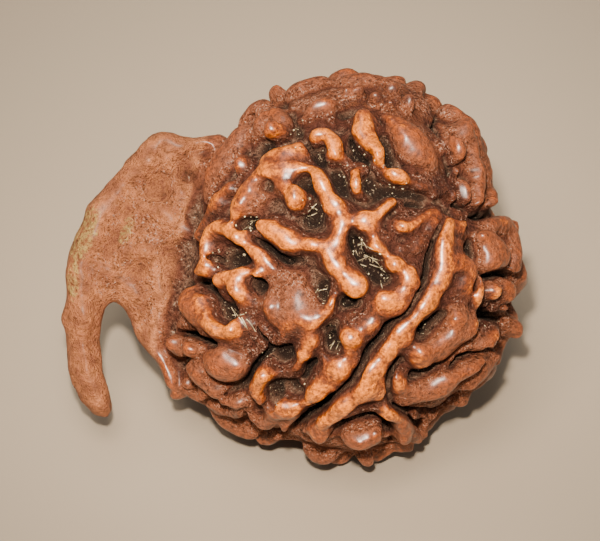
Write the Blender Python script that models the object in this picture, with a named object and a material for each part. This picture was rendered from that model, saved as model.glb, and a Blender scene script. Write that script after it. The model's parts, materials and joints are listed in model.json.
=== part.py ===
"""Ganesh rudraksha: the dried stone of a rudraksha fruit that grew with a trunk-like fin on one side.

It grew as one piece, so it is one solid. It is modelled like clay: an egg, a thin fin with a trunk, low
swellings and strings of ridges laid on, and clefts and pits pressed in. Lengths are in millimetres until
the very end.

The face is described as it looks from straight in front: u to the right, v up and w towards the eye,
from the middle of the egg. The stone rests leaning back, so that its face looks up by FACE_TILT.
"""

import math
import random

import bpy
import numpy as np
import openvdb

MM = 0.001

# The silhouette of the egg with its ridges, as radii from its middle every 15 degrees, starting at the
# right and going round by the top.
SILHOUETTE = [
    10.5, 10.4, 9.9, 11.0, 11.7, 12.1,
    11.9, 11.9, 11.7, 11.2, 10.7, 10.3,
    10.4, 11.3, 12.0, 12.0, 11.7, 11.6,
    11.8, 11.4, 10.9, 10.7, 10.8, 10.6,
]
HALF_DEPTH = 10.3
# How far the valleys lie under the silhouette.
RIDGE_HEIGHT = 1.05

# The mouth, where the clefts between the segments meet.
MOUTH = (5.55, 3.95)

FACE_TILT = math.radians(38)
FOOT_BALL = 5.5
FOOT_CUT = 0.5
TO_EYE = np.array([0.0, 0.0, 1.0])

CLAY_STEP = 0.17
MARGIN = 1.0
FAR = 3.0
SOFTENING = 2
TRIANGLES = 11300
SEED = 7
RIDGE_KNOBBLE = 0.2
CREST_KNOBBLE = 0.14
MAZE_WAVES = 26
MAZE_PITCH = 2.9
MAZE_HEIGHT = 1.2
RIDGE_WIDTH = 1.0
RIDGE_FLATNESS = 1.2
RIDGE_FOOT = 2.2
RIDGE_BLEND = 0.4

# The fin and the trunk as one thin plate, its outline seen from the front.
FIN_OUTLINE = [
    (-7.8, 8.3), (-8.7, 7.9), (-9.5, 7.8), (-10.1, 7.85), (-10.8, 8.1), (-11.4, 8.15), (-12.1, 7.8),
    (-12.7, 7.2), (-13.2, 6.45), (-14.0, 5.7), (-15.0, 4.7), (-15.9, 3.6), (-16.5, 2.4), (-16.8, 1.0),
    (-17.0, -0.5), (-17.2, -2.0), (-17.3, -3.0), (-17.15, -3.9), (-17.05, -5.0), (-16.9, -6.0),
    (-16.6, -7.0), (-16.0, -8.0), (-15.2, -8.7), (-14.5, -8.95), (-14.2, -8.4), (-14.4, -7.3),
    (-14.7, -6.3), (-14.8, -5.0), (-15.0, -4.0), (-14.85, -2.9), (-14.7, -2.1), (-14.2, -1.85),
    (-13.7, -2.1), (-13.4, -2.6), (-13.1, -3.2), (-12.7, -4.2), (-12.1, -5.0), (-11.6, -5.7),
    (-11.1, -6.3), (-10.95, -7.0), (-10.8, -7.75), (-10.4, -7.8), (-9.0, -7.2), (-6.5, -4.0),
    (-6.0, 3.0), (-6.5, 7.0),
]
FIN_MIDDLE = -1.9
FIN_EDGE_HALF = 0.8
FIN_SWELL = 0.2
FIN_ROUND = 0.8

# Folds on both faces of the fin: height over the face, then u, v, radius.
FIN_FOLDS = [
    (0.4, [(-8.7, 7.3, 0.6), (-10.0, 7.3, 0.65), (-11.3, 7.45, 0.7), (-12.3, 6.6, 0.75),
           (-13.3, 5.6, 0.7), (-14.4, 4.3, 0.7), (-15.3, 2.9, 0.7), (-15.9, 1.2, 0.75),
           (-16.1, -0.5, 0.8), (-16.1, -2.5, 0.8), (-16.0, -4.5, 0.75), (-15.6, -6.5, 0.7),
           (-15.0, -7.9, 0.6)]),
    (0.3, [(-13.3, 4.3, 0.4), (-12.3, 4.0, 0.5), (-10.8, 3.2, 0.5), (-9.7, 2.6, 0.5)]),
    (0.35, [(-12.4, 1.2, 0.4), (-11.7, -0.2, 0.5), (-11.4, -1.5, 0.5), (-11.6, -3.0, 0.5),
            (-11.7, -4.3, 0.45), (-11.1, -5.8, 0.4), (-10.7, -7.0, 0.4)]),
    (0.25, [(-14.8, 0.8, 0.4), (-14.3, -0.4, 0.45), (-13.4, -0.8, 0.45), (-12.6, -1.6, 0.45)]),
    (0.25, [(-11.9, 6.4, 0.4), (-11.0, 5.6, 0.45), (-10.4, 4.6, 0.45)]),
]

# Shallow dents in the fin: u, v, half width, half height, how deep, turned by degrees.
FIN_DENTS = [
    (-11.6, 5.2, 1.3, 0.8, 0.3, 50), (-13.9, 2.4, 0.6, 2.4, 0.3, -22), (-12.6, 2.2, 1.2, 0.7, 0.2, -20),
    (-10.6, 1.2, 0.9, 0.8, 0.25, 0), (-9.9, 5.9, 0.9, 0.8, 0.5, 20), (-12.8, 0.2, 0.8, 0.6, 0.2, 0),
    (-15.2, -3.8, 0.4, 1.8, 0.2, 0), (-9.0, 7.0, 0.8, 0.4, 0.25, 10),
]

# Low swellings: u, v, radius of the foot, rise.
SWELLINGS = [
    (-5.4, 4.4, 1.5, 0.9), (-2.9, 2.3, 1.2, 0.5), (0.9, -3.2, 1.5, 0.9), (-0.3, -5.2, 1.3, 0.7),
    (-1.6, -6.6, 1.2, 0.7), (-6.4, -4.3, 1.4, 0.7), (3.0, 2.4, 1.7, 0.7), (6.3, -1.2, 1.6, 1.05),
    (3.9, -2.6, 1.1, 0.5), (1.7, -6.2, 1.6, 1.0), (5.2, -7.0, 1.9, 0.7), (7.6, -5.5, 1.8, 0.7),
    (4.3, 5.3, 1.6, 0.5), (3.2, 10.5, 1.8, 0.6), (-1.2, 9.9, 1.9, 0.6), (-9.6, -3.6, 1.6, 0.6),
    (-8.7, -7.3, 1.5, 0.6), (3.2, -9.8, 1.2, 0.5), (5.6, -8.8, 1.6, 0.3), (-5.2, -7.2, 1.1, 0.6),
    (9.6, 1.4, 1.6, 0.6),
]

# What is seen at a lump's u, v stands this share of its height over the valleys.
LUMP_SHOWN = 0.55

# Rounded lumps: u, v, half length, half width, height over the valleys, turned by degrees.
LUMPS = [
    (-3.9, 6.75, 1.7, 0.85, 1.6, 5), (-4.5, 8.25, 0.8, 0.8, 1.75, 0), (-6.6, 6.4, 0.95, 0.6, 1.3, 95),
    (-7.8, 6.5, 2.7, 0.95, 1.15, 48), (-6.1, 9.65, 1.5, 0.9, 1.1, 25), (-2.5, 11.2, 1.7, 0.9, 1.05, 5),
    (3.4, 7.95, 2.4, 1.35, 1.7, -42), (6.35, 7.3, 1.3, 0.55, 1.5, 96), (8.2, 6.4, 3.1, 1.35, 1.25, 112),
    (6.7, 9.9, 0.95, 0.9, 1.2, 120), (4.1, 10.95, 0.9, 0.8, 1.1, 0), (1.0, 11.4, 2.2, 0.8, 1.0, 0),
    (0.9, 8.3, 1.2, 0.62, 1.6, -62), (-9.65, -2.05, 1.5, 1.05, 1.9, -25),
    (-10.6, -4.2, 1.05, 0.85, 1.55, 85),
    (-9.55, -4.6, 0.75, 0.75, 1.55, 0), (-7.7, -5.75, 1.75, 1.35, 1.9, 20),
    (-10.6, -7.3, 0.6, 0.55, 1.2, 70),
    (-6.9, -7.95, 1.05, 0.6, 1.3, -28), (-3.5, -2.2, 1.75, 1.5, 1.0, -20),
    (-3.9, -0.8, 1.3, 0.9, 0.5, 10),
    (0.15, -0.9, 1.1, 0.8, 1.78, -45), (2.2, -1.95, 1.35, 0.72, 1.6, 12), (1.2, -3.1, 0.8, 0.6, 1.3, 30),
    (0.1, -4.2, 0.85, 0.8, 1.65, 0), (-0.75, -5.8, 1.05, 0.75, 1.5, 52), (-1.9, -7.25, 1.2, 0.8, 1.6, 48),
    (-4.05, -8.4, 1.55, 0.98, 1.6, 42), (6.4, -2.9, 1.0, 0.85, 1.65, -15),
    (5.7, -4.55, 1.9, 0.95, 1.3, 22),
    (4.4, -5.35, 0.9, 0.7, 1.6, 15), (2.8, 5.55, 1.3, 0.72, 1.65, -22),
    (0.4, 5.15, 1.2, 0.58, 1.6, 98), (8.6, 0.95, 1.3, 1.2, 1.5, 60), (8.75, -1.25, 0.75, 0.72, 1.5, 0),
    (7.45, -1.15, 1.05, 0.75, 1.5, -75), (8.6, -3.7, 0.95, 0.42, 1.3, -4),
    (0.7, -10.15, 1.25, 0.95, 1.5, 5),
    (1.05, -11.35, 0.5, 0.7, 1.2, 0), (-1.8, -11.2, 1.2, 0.7, 1.05, 0),
    (1.0, -6.95, 1.05, 0.9, 1.65, 60), (5.1, -6.95, 2.6, 1.0, 1.4, 14), (3.1, -6.9, 1.0, 0.7, 1.25, -50),
    (3.35, 2.55, 0.8, 0.5, 1.3, 8), (-8.0, -8.5, 0.9, 0.5, 1.0, -20),
    (0.6, 10.9, 0.55, 0.3, 1.35, 25), (1.5, 10.4, 0.6, 0.32, 1.3, -20), (2.5, 10.9, 0.7, 0.35, 1.35, 10),
    (3.4, 10.3, 0.6, 0.4, 1.3, -35), (2.4, 9.95, 0.5, 0.28, 1.15, 0), (-0.2, 10.7, 0.4, 0.25, 1.2, 60),
    (-1.75, 9.85, 1.4, 0.55, 1.35, 22),
]

# Shallow floors between the ridges: u, v, half width, half height, how deep, turned by degrees.
HOLLOWS = [
    (-2.6, 5.0, 0.75, 0.5, 0.9, 20), (-2.5, 3.4, 0.9, 1.1, 0.7, 20), (-4.7, 4.9, 0.3, 0.3, 0.6, 0),
    (-6.0, 2.7, 0.62, 0.5, 1.4, 15), (-7.0, 0.7, 1.3, 0.6, 0.9, 0), (-5.6, -0.9, 0.35, 0.5, 0.9, 0),
    (0.7, 1.2, 0.55, 1.5, 1.3, 38), (1.6, -0.1, 0.5, 0.9, 1.0, 40), (-1.6, -1.3, 0.4, 0.8, 0.8, 10),
    (0.0, -2.1, 0.6, 0.35, 1.2, 10), (-0.9, -4.2, 0.5, 0.8, 0.9, 0), (-4.2, -5.2, 0.9, 0.6, 0.9, 0),
    (-7.3, -2.6, 0.9, 0.5, 1.3, -30), (-4.4, -7.5, 0.45, 0.9, 0.7, 15), (-3.2, -7.2, 0.7, 0.4, 0.6, 20),
    (0.45, 6.8, 0.7, 0.25, 0.6, -25), (2.2, 7.0, 0.4, 1.4, 0.7, 20), (-1.85, 7.0, 0.5, 0.45, 0.9, 0),
    (-0.65, 5.4, 0.35, 1.0, 0.8, 12), (1.3, 5.4, 0.35, 0.7, 0.6, 0), (2.2, 4.9, 1.6, 0.35, 0.6, -5),
    (4.5, -6.1, 1.3, 0.3, 0.8, 8), (4.6, -3.2, 0.9, 0.45, 1.0, 32), (7.2, 1.2, 0.4, 0.8, 1.0, 0),
    (8.3, -2.8, 0.6, 0.4, 1.2, 0), (0.6, -9.0, 1.5, 0.55, 1.4, 0), (2.4, -9.6, 0.3, 1.0, 0.9, 12),
    (-5.5, 7.3, 0.5, 0.8, 0.6, 20), (-0.3, 9.5, 0.5, 0.25, 0.4, 20), (-10.3, -5.8, 0.6, 0.4, 0.8, 0),
    (5.3, -8.6, 1.3, 0.6, 0.6, 15), (6.4, 5.8, 0.3, 0.4, 0.7, 0), (5.4, 8.9, 0.35, 0.35, 0.8, 0),
]

# Ridges: height of the crest over the valleys, then the crest's points as u, v, radius.
RIDGES = [
    # The ring left of the middle, and the ridge that closes it below.
    (1.6, [(-6.9, 2.1, 0.42), (-7.1, 3.3, 0.5), (-6.8, 4.3, 0.55), (-6.2, 5.2, 0.6),
           (-5.5, 5.65, 0.6), (-4.5, 6.05, 0.62), (-3.3, 6.05, 0.56), (-2.25, 5.75, 0.52),
           (-1.5, 5.4, 0.5), (-1.2, 4.7, 0.5), (-1.0, 4.2, 0.5), (-0.6, 3.4, 0.58),
           (-0.5, 2.7, 0.58), (-0.6, 2.0, 0.58), (-1.0, 1.4, 0.6), (-1.3, 0.9, 0.55)]),
    (1.5, [(-5.5, 2.7, 0.34), (-4.6, 2.15, 0.46), (-4.0, 1.8, 0.54), (-3.4, 1.45, 0.42),
           (-2.6, 1.6, 0.38), (-1.8, 1.4, 0.4), (-1.2, 1.0, 0.5)]),
    (1.3, [(-4.7, 5.8, 0.4), (-4.2, 5.2, 0.45), (-3.8, 4.8, 0.45)]),
    (1.2, [(-3.0, 5.75, 0.4), (-3.4, 5.3, 0.36), (-3.6, 4.9, 0.36)]),
    (1.2, [(-6.35, 1.8, 0.45), (-5.85, 1.15, 0.55), (-5.3, 0.6, 0.5), (-4.8, 0.2, 0.4)]),
    # From the ring down to the big lump in the middle.
    (1.55, [(-1.25, 0.8, 0.46), (-0.75, 0.1, 0.46), (-0.2, -0.5, 0.55)]),
    # The star and its arms.
    (1.25, [(-0.35, 3.2, 0.34), (0.4, 3.05, 0.4), (1.0, 2.95, 0.5)]),
    (1.5, [(1.0, 2.95, 0.62), (1.7, 3.3, 0.38), (2.3, 3.65, 0.3), (2.75, 4.1, 0.24)]),
    (1.5, [(1.0, 2.95, 0.6), (1.35, 2.2, 0.36), (1.55, 1.5, 0.42), (2.1, 0.95, 0.34), (2.7, 0.4, 0.46),
           (3.3, 0.0, 0.5), (3.6, -0.4, 0.56), (3.5, -1.0, 0.6), (3.1, -1.5, 0.62),
           (2.5, -1.9, 0.7)]),
    # The rim of the broad pink plain and its arm downwards.
    (1.25, [(-5.1, -2.1, 0.3), (-4.75, -2.9, 0.42), (-4.0, -3.4, 0.56), (-3.1, -3.15, 0.58),
            (-2.3, -3.0, 0.5), (-1.6, -2.6, 0.4), (-1.25, -2.0, 0.3)]),
    (1.3, [(-2.9, -3.3, 0.7), (-2.65, -4.1, 0.75), (-2.75, -4.9, 0.6), (-3.1, -5.7, 0.4),
           (-3.6, -6.15, 0.34)]),
    (0.8, [(-4.5, -4.5, 0.3), (-4.1, -4.0, 0.26)]),
    # Left of the middle.
    (1.5, [(-6.9, 2.0, 0.42), (-7.5, 2.35, 0.46), (-8.3, 2.6, 0.5), (-8.9, 2.0, 0.46),
           (-9.05, 1.2, 0.46), (-9.05, 0.4, 0.48), (-9.6, -0.3, 0.42)]),
    (1.1, [(-9.4, 2.1, 0.36), (-8.7, 3.4, 0.42), (-8.0, 4.4, 0.42), (-7.6, 5.0, 0.36)]),
    (1.45, [(-8.2, -0.45, 0.42), (-7.2, -0.2, 0.48), (-6.3, -0.3, 0.42), (-5.8, -0.2, 0.3)]),
    (1.4, [(-7.2, -0.5, 0.55), (-6.95, -1.1, 0.42), (-6.7, -1.6, 0.3)]),
    (1.75, [(-9.6, -2.3, 1.0), (-8.95, -2.85, 0.78), (-8.3, -3.35, 0.62), (-7.4, -3.6, 0.42)]),
    (0.75, [(-6.2, -2.2, 0.28), (-5.65, -3.3, 0.28), (-5.25, -4.2, 0.28), (-5.1, -4.9, 0.26)]),
    (1.25, [(-9.8, -5.9, 0.5), (-9.3, -6.7, 0.55), (-8.6, -7.4, 0.5), (-8.0, -8.0, 0.42)]),
    (1.0, [(-8.9, -8.0, 0.45), (-7.7, -8.8, 0.4), (-6.4, -8.9, 0.4), (-5.6, -9.5, 0.4)]),
    (1.5, [(-5.05, -6.35, 0.42), (-5.4, -6.8, 0.5), (-5.7, -7.4, 0.46), (-5.4, -8.1, 0.42)]),
    # The file of lumps along the left bank of the long cleft.
    (1.05, [(1.5, -2.5, 0.5), (1.1, -3.2, 0.5), (0.6, -3.9, 0.5), (0.2, -4.7, 0.5)]),
    (1.2, [(-1.65, -4.7, 0.28), (-1.4, -5.5, 0.3), (-1.1, -6.2, 0.3)]),
    (1.0, [(0.0, -5.0, 0.45), (-0.5, -6.0, 0.45), (-1.1, -6.6, 0.45)]),
    (1.1, [(-1.5, -6.8, 0.45), (-2.3, -7.7, 0.45), (-2.9, -8.0, 0.4)]),
    (1.1, [(-3.2, -7.9, 0.45), (-4.2, -8.8, 0.5), (-5.0, -9.5, 0.45)]),
    (1.5, [(-3.8, -10.1, 0.4), (-3.0, -9.8, 0.5), (-2.5, -9.6, 0.3)]),
    # The long main ridge from the mouth down the right bank of the cleft.
    (1.6, [(5.95, 3.0, 0.42), (5.85, 2.0, 0.6), (5.75, 1.0, 0.7), (5.8, 0.3, 0.85),
           (5.65, -0.4, 0.95), (5.25, -1.1, 1.0), (4.8, -1.7, 0.98), (4.25, -2.3, 0.92),
           (3.8, -2.9, 0.88), (3.4, -3.5, 0.85), (3.25, -4.1, 0.75), (3.2, -4.5, 0.5)]),
    (1.5, [(2.9, -3.9, 0.4), (2.5, -4.6, 0.6), (2.1, -5.3, 0.75), (1.5, -6.1, 0.9), (1.0, -6.9, 0.9),
           (0.9, -7.4, 0.8), (0.2, -7.9, 0.75), (-0.6, -8.4, 0.7), (-1.3, -9.0, 0.66),
           (-1.8, -9.6, 0.64), (-2.0, -10.3, 0.6)]),
    (1.3, [(1.2, -7.5, 0.55), (1.8, -7.6, 0.5), (2.1, -7.2, 0.4)]),
    (1.1, [(6.4, 2.9, 0.22), (6.4, 1.8, 0.26), (6.35, 1.0, 0.26), (6.5, 0.2, 0.28)]),
    (1.0, [(7.0, 2.9, 0.22), (6.75, 2.0, 0.22), (6.75, 1.0, 0.2)]),
    (1.35, [(6.7, 0.35, 0.5), (7.1, 0.0, 0.5), (6.9, -0.7, 0.4)]),
    (1.3, [(7.35, 0.0, 0.45), (7.65, -0.7, 0.6), (7.65, -1.5, 0.55), (7.4, -2.1, 0.4)]),
    (1.35, [(7.55, -2.6, 0.36), (7.6, -3.2, 0.42), (7.2, -3.9, 0.42), (6.5, -4.3, 0.36)]),
    # The leaf-shaped lobe in the mouth.
    (1.2, [(3.3, 2.6, 0.4), (3.8, 2.7, 0.4), (4.3, 2.95, 0.26), (4.8, 3.4, 0.2), (5.3, 3.8, 0.16)]),
    (1.0, [(3.6, 1.4, 0.2), (4.1, 1.7, 0.22), (4.5, 2.1, 0.22), (4.9, 2.7, 0.2), (5.2, 3.3, 0.16)]),
    (0.95, [(2.1, 2.1, 0.22), (2.6, 1.5, 0.25), (3.4, 1.05, 0.28), (4.1, 1.2, 0.24)]),
    # Right and lower right.
    (1.5, [(4.3, -5.4, 0.6), (5.2, -4.8, 0.5), (6.1, -4.3, 0.5), (7.0, -3.9, 0.45)]),
    (1.35, [(2.7, -6.4, 0.45), (3.15, -7.05, 0.6), (4.0, -7.4, 0.7), (5.2, -7.55, 0.7),
           (6.2, -7.0, 0.68), (7.2, -6.35, 0.66), (8.0, -5.5, 0.62), (8.7, -4.9, 0.5)]),
    (1.4, [(8.2, 2.1, 0.36), (8.9, 1.95, 0.45), (9.45, 1.2, 0.46), (9.5, 0.5, 0.4)]),
    (1.15, [(8.6, 2.9, 0.4), (9.8, 2.8, 0.45), (10.3, 1.7, 0.42), (10.3, 0.6, 0.42), (10.2, -0.1, 0.38)]),
    (1.25, [(9.8, -0.9, 0.65), (9.95, -1.6, 0.7), (9.7, -2.4, 0.65), (9.4, -3.0, 0.5)]),
    (1.1, [(9.3, -4.4, 0.42), (9.2, -5.2, 0.42), (8.5, -6.2, 0.45), (7.6, -7.1, 0.4)]),
    # The lower edge.
    (1.4, [(2.45, -8.3, 0.38), (2.85, -9.1, 0.48), (3.2, -9.8, 0.52), (3.4, -10.6, 0.52)]),
    (1.1, [(4.0, -9.5, 0.28), (4.25, -10.4, 0.3)]),
    (1.3, [(-0.2, -9.8, 0.45), (0.7, -9.6, 0.5), (1.5, -9.7, 0.45), (1.6, -10.4, 0.4)]),
    # The upper part.
    (1.65, [(0.65, 9.3, 0.6), (0.7, 8.5, 0.7), (0.95, 7.9, 0.7), (1.35, 7.3, 0.56), (1.7, 6.75, 0.4)]),
    (1.55, [(-2.15, 8.1, 0.55), (-1.6, 8.2, 0.75), (-1.1, 7.8, 0.6), (-0.85, 7.1, 0.46),
            (-0.85, 6.5, 0.34)]),
    (0.85, [(3.2, 5.4, 0.4), (4.2, 5.1, 0.34), (5.2, 4.7, 0.25)]),
    (1.0, [(6.2, 4.9, 0.26), (6.45, 4.4, 0.3)]),
    (1.0, [(-6.1, 8.2, 0.3), (-5.6, 9.1, 0.34), (-4.5, 9.5, 0.36), (-3.7, 9.1, 0.3)]),
    # Ribs of the pink lobe at the upper right.
    (1.35, [(7.2, 8.9, 0.32), (7.8, 7.7, 0.32), (8.1, 6.3, 0.32), (8.1, 4.9, 0.3), (8.0, 3.9, 0.26)]),
    (1.2, [(8.3, 7.0, 0.3), (8.8, 5.6, 0.3), (8.8, 4.0, 0.3)]),
    (1.2, [(6.9, 5.9, 0.26), (7.2, 4.9, 0.26), (7.4, 3.9, 0.24)]),
]

# Knobs that stand over the hollows: height, u, v, radius.
KNOBS = [
    (1.75, -3.45, 4.45, 0.58), (1.7, -6.95, 2.05, 0.42), (1.75, 0.05, -4.3, 0.66),
    (1.75, 0.95, 2.95, 0.72), (1.65, 1.55, 1.45, 0.42),
    (1.7, 4.35, -5.35, 0.62), (1.75, -8.35, -3.5, 0.5), (1.6, -2.05, -10.2, 0.55), (1.6, 3.35, 2.6, 0.42),
    (1.7, -5.35, -6.6, 0.42), (1.7, 2.65, 0.4, 0.46), (1.75, 0.35, -1.0, 0.62), (1.75, 2.1, -1.8, 0.55),
]

# How far the clefts' walls turn from upright towards the eye.
CLEFT_LEAN = 0.9

# Clefts: how deep under the valleys, then points as u, v, half width.
CLEFTS = [
    # The long black cleft from the mouth to the lower left.
    (1.5, [(5.5, 3.7, 0.1), (5.2, 2.6, 0.18), (4.75, 1.6, 0.2), (4.45, 0.6, 0.22), (4.2, -0.4, 0.22),
           (3.95, -1.2, 0.24), (3.6, -1.9, 0.26), (3.05, -2.5, 0.28), (2.4, -2.9, 0.3),
           (1.9, -3.5, 0.34), (1.5, -4.2, 0.36), (1.1, -4.8, 0.36), (0.7, -5.4, 0.36),
           (0.3, -6.0, 0.36), (-0.2, -6.7, 0.36), (-0.9, -7.25, 0.36), (-1.5, -7.8, 0.36),
           (-2.3, -8.4, 0.38), (-3.0, -9.0, 0.38), (-3.9, -9.6, 0.4), (-5.0, -10.2, 0.5)]),
    # The grey channel from the mouth to the upper left, and its side channel.
    (0.35, [(5.4, 4.1, 0.14), (4.2, 4.4, 0.22), (3.0, 4.7, 0.28), (2.0, 4.6, 0.34), (1.6, 4.1, 0.34),
            (0.9, 3.9, 0.3), (0.0, 4.3, 0.38), (-0.55, 5.0, 0.42), (-1.15, 5.9, 0.36),
            (-1.9, 6.6, 0.36), (-2.6, 7.3, 0.36), (-3.0, 8.2, 0.34), (-3.6, 9.3, 0.34),
            (-4.5, 10.6, 0.45)]),
    (0.1, [(-5.6, 8.0, 0.2), (-5.3, 7.4, 0.26), (-4.4, 7.35, 0.22), (-3.5, 7.6, 0.24), (-3.3, 8.3, 0.2)]),
    (0.2, [(1.7, 4.8, 0.2), (1.4, 5.6, 0.2), (1.0, 6.4, 0.2), (0.3, 6.8, 0.2)]),
    # To the right, to the top, and down the right side.
    (1.6, [(5.7, 3.9, 0.14), (6.5, 3.6, 0.3), (7.2, 3.25, 0.42), (8.0, 3.15, 0.44), (9.3, 3.3, 0.5)]),
    (0.9, [(5.6, 4.2, 0.12), (5.75, 5.8, 0.18), (5.45, 7.5, 0.2), (5.2, 8.9, 0.3), (5.05, 10.5, 0.8)]),
    (0.8, [(5.9, 3.6, 0.12), (6.1, 2.6, 0.1)]),
    (0.9, [(7.1, 2.2, 0.16), (7.15, 1.2, 0.22), (7.4, 0.8, 0.16)]),
    (1.1, [(7.05, -0.3, 0.14), (6.9, -1.2, 0.2), (6.75, -2.1, 0.2), (7.2, -2.4, 0.14)]),
    (1.2, [(4.0, -4.1, 0.26), (4.3, -3.3, 0.32), (4.9, -2.75, 0.3), (5.5, -2.5, 0.22)]),
    (1.3, [(2.2, -6.4, 0.22), (2.4, -5.7, 0.3), (3.0, -5.1, 0.3), (3.8, -4.95, 0.26), (4.1, -4.5, 0.24)]),
    (1.3, [(2.25, -6.6, 0.2), (2.35, -7.5, 0.22), (2.9, -8.1, 0.24), (3.7, -8.9, 0.26),
           (4.7, -9.9, 0.3)]),
    (1.2, [(2.8, -8.1, 0.26), (3.8, -8.35, 0.34), (5.2, -8.45, 0.36), (6.5, -8.1, 0.34),
           (7.4, -7.4, 0.3), (8.4, -6.9, 0.3)]),
    (1.3, [(5.7, -5.8, 0.26), (6.3, -5.25, 0.42), (7.0, -4.95, 0.4), (7.8, -4.5, 0.32),
           (8.9, -4.35, 0.32)]),
    (1.3, [(7.8, -0.2, 0.26), (8.5, -0.3, 0.36), (9.2, -0.4, 0.34), (10.3, -0.4, 0.3)]),
    (1.4, [(7.8, -2.5, 0.36), (8.4, -2.75, 0.5), (9.0, -3.0, 0.42), (9.8, -3.3, 0.4)]),
    (0.9, [(8.1, -2.0, 0.2), (9.0, -2.0, 0.2), (9.4, -1.2, 0.2), (9.5, -0.5, 0.2)]),
    # Around the ring and to the left of it.
    (1.5, [(-5.5, 1.75, 0.18), (-4.9, 1.35, 0.24), (-4.3, 0.85, 0.25), (-3.8, 0.45, 0.2)]),
    (0.9, [(-3.7, 0.5, 0.2), (-2.9, 0.5, 0.22)]),
    (1.4, [(-10.2, -0.9, 0.22), (-9.3, -0.9, 0.28), (-8.5, -0.8, 0.28), (-7.8, -1.25, 0.26),
           (-7.5, -1.95, 0.26)]),
    (1.5, [(-11.3, -2.7, 0.22), (-10.4, -3.2, 0.28), (-9.8, -3.6, 0.28), (-9.1, -3.85, 0.3),
           (-8.4, -4.25, 0.36), (-7.5, -4.25, 0.3)]),
    (0.9, [(-5.95, -2.2, 0.16), (-5.45, -3.2, 0.2), (-5.0, -4.0, 0.22), (-4.8, -4.9, 0.22)]),
    (0.6, [(-6.6, -2.6, 0.12), (-6.05, -3.4, 0.14), (-5.6, -4.4, 0.14)]),
    (1.2, [(-7.6, -7.3, 0.22), (-6.6, -7.0, 0.3), (-5.95, -6.35, 0.34), (-5.5, -5.5, 0.36),
           (-5.1, -4.9, 0.3)]),
    (0.9, [(-10.9, -5.5, 0.3), (-10.0, -5.4, 0.3), (-9.3, -5.2, 0.26)]),
    (0.7, [(-9.6, -5.9, 0.16), (-9.1, -6.7, 0.18), (-8.3, -7.3, 0.18), (-7.4, -7.4, 0.16)]),
    (0.9, [(-6.2, -7.6, 0.2), (-6.0, -8.5, 0.26), (-5.2, -8.9, 0.2)]),
    (1.2, [(-4.0, -6.65, 0.2), (-3.3, -6.55, 0.26), (-2.6, -6.3, 0.24), (-2.4, -5.6, 0.24),
           (-1.9, -5.35, 0.2)]),
    (1.1, [(-1.8, -3.4, 0.2), (-1.35, -3.2, 0.24), (-0.9, -3.1, 0.2)]),
    (1.0, [(-0.1, 8.3, 0.16), (0.15, 7.5, 0.22), (0.6, 7.0, 0.22), (1.3, 6.6, 0.18)]),
    (0.7, [(-7.6, 8.0, 0.2), (-6.4, 8.7, 0.16), (-5.0, 9.6, 0.18), (-4.1, 10.2, 0.2)]),
    (0.5, [(1.6, 8.9, 0.16), (2.1, 7.9, 0.2), (2.6, 6.7, 0.2), (3.4, 6.1, 0.16), (4.6, 5.8, 0.16)]),
    (0.7, [(3.1, 3.85, 0.1), (4.0, 3.85, 0.1), (5.2, 3.9, 0.1)]),
    (0.5, [(2.9, 3.6, 0.12), (2.2, 3.0, 0.16), (1.9, 2.3, 0.16)]),
    (1.3, [(-0.9, -9.4, 0.3), (0.1, -8.75, 0.34), (1.1, -8.6, 0.34), (2.0, -8.7, 0.26)]),
    (0.9, [(2.1, -8.8, 0.2), (2.3, -9.6, 0.22), (2.6, -10.4, 0.2)]),
]

# Pits: u, v, half width, half height, how deep, turned by degrees.
PITS = [
    (-3.5, 3.6, 0.6, 0.3, 1.6, 0), (-9.7, 6.0, 0.5, 0.42, 1.6, 0), (-7.55, 7.95, 0.25, 0.3, 0.8, 0),
    (-9.45, 1.45, 0.22, 0.25, 0.7, 0), (-8.0, 0.6, 0.25, 0.25, 0.6, 0), (-3.8, -4.7, 0.4, 0.22, 0.9, 0),
    (-4.65, -5.0, 0.25, 0.2, 0.8, 0), (-7.0, -2.3, 0.55, 0.3, 1.3, -25), (4.6, 6.9, 0.16, 0.14, 0.5, 0),
    (0.5, 1.9, 0.35, 0.4, 1.3, 30), (1.7, -10.6, 0.12, 0.12, 0.5, 0), (6.4, 5.8, 0.2, 0.25, 0.6, 0),
    (0.0, -2.15, 0.45, 0.25, 1.3, 10), (-6.15, 2.75, 0.55, 0.36, 1.4, 0),
]

# Where the clefts reach the silhouette, to be carried round the back to the second meeting point.
CLEFT_ENDS = [(-4.9, -10.1), (-4.5, 10.6), (9.2, 3.2), (4.9, 10.2), (9.1, -3.6), (4.6, -10.0)]

BARK_TONE = (0.42, 0.17, 0.075, 1.0)


def unit(vector):
    return vector / np.linalg.norm(vector)


def outline_radius(angle):
    """The silhouette's radius at an angle, with the radii joined by a smooth curve."""
    count = len(SILHOUETTE)
    radii = np.array(SILHOUETTE)
    place = np.mod(angle, 2 * np.pi) / (2 * np.pi) * count
    low = np.floor(place).astype(int) % count
    part = place - np.floor(place)
    before, here, after, later = (radii[(low + k) % count] for k in (-1, 0, 1, 2))
    slope_here = (after - before) / 2
    slope_after = (later - here) / 2
    square = part * part
    cube = square * part
    return (
        (2 * cube - 3 * square + 1) * here
        + (cube - 2 * square + part) * slope_here
        + (3 * square - 2 * cube) * after
        + (cube - square) * slope_after
    )


def egg_size(u, v, w, lift):
    """1 on the egg's valley floor raised by lift, less inside it and more outside."""
    out = np.hypot(u, v)
    reach = outline_radius(np.arctan2(v, u)) - RIDGE_HEIGHT + lift
    return np.sqrt((out / reach) ** 2 + (w / (HALF_DEPTH - RIDGE_HEIGHT + lift)) ** 2)


def on_egg(direction, lift):
    return direction / egg_size(direction[0], direction[1], direction[2], lift)


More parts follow.
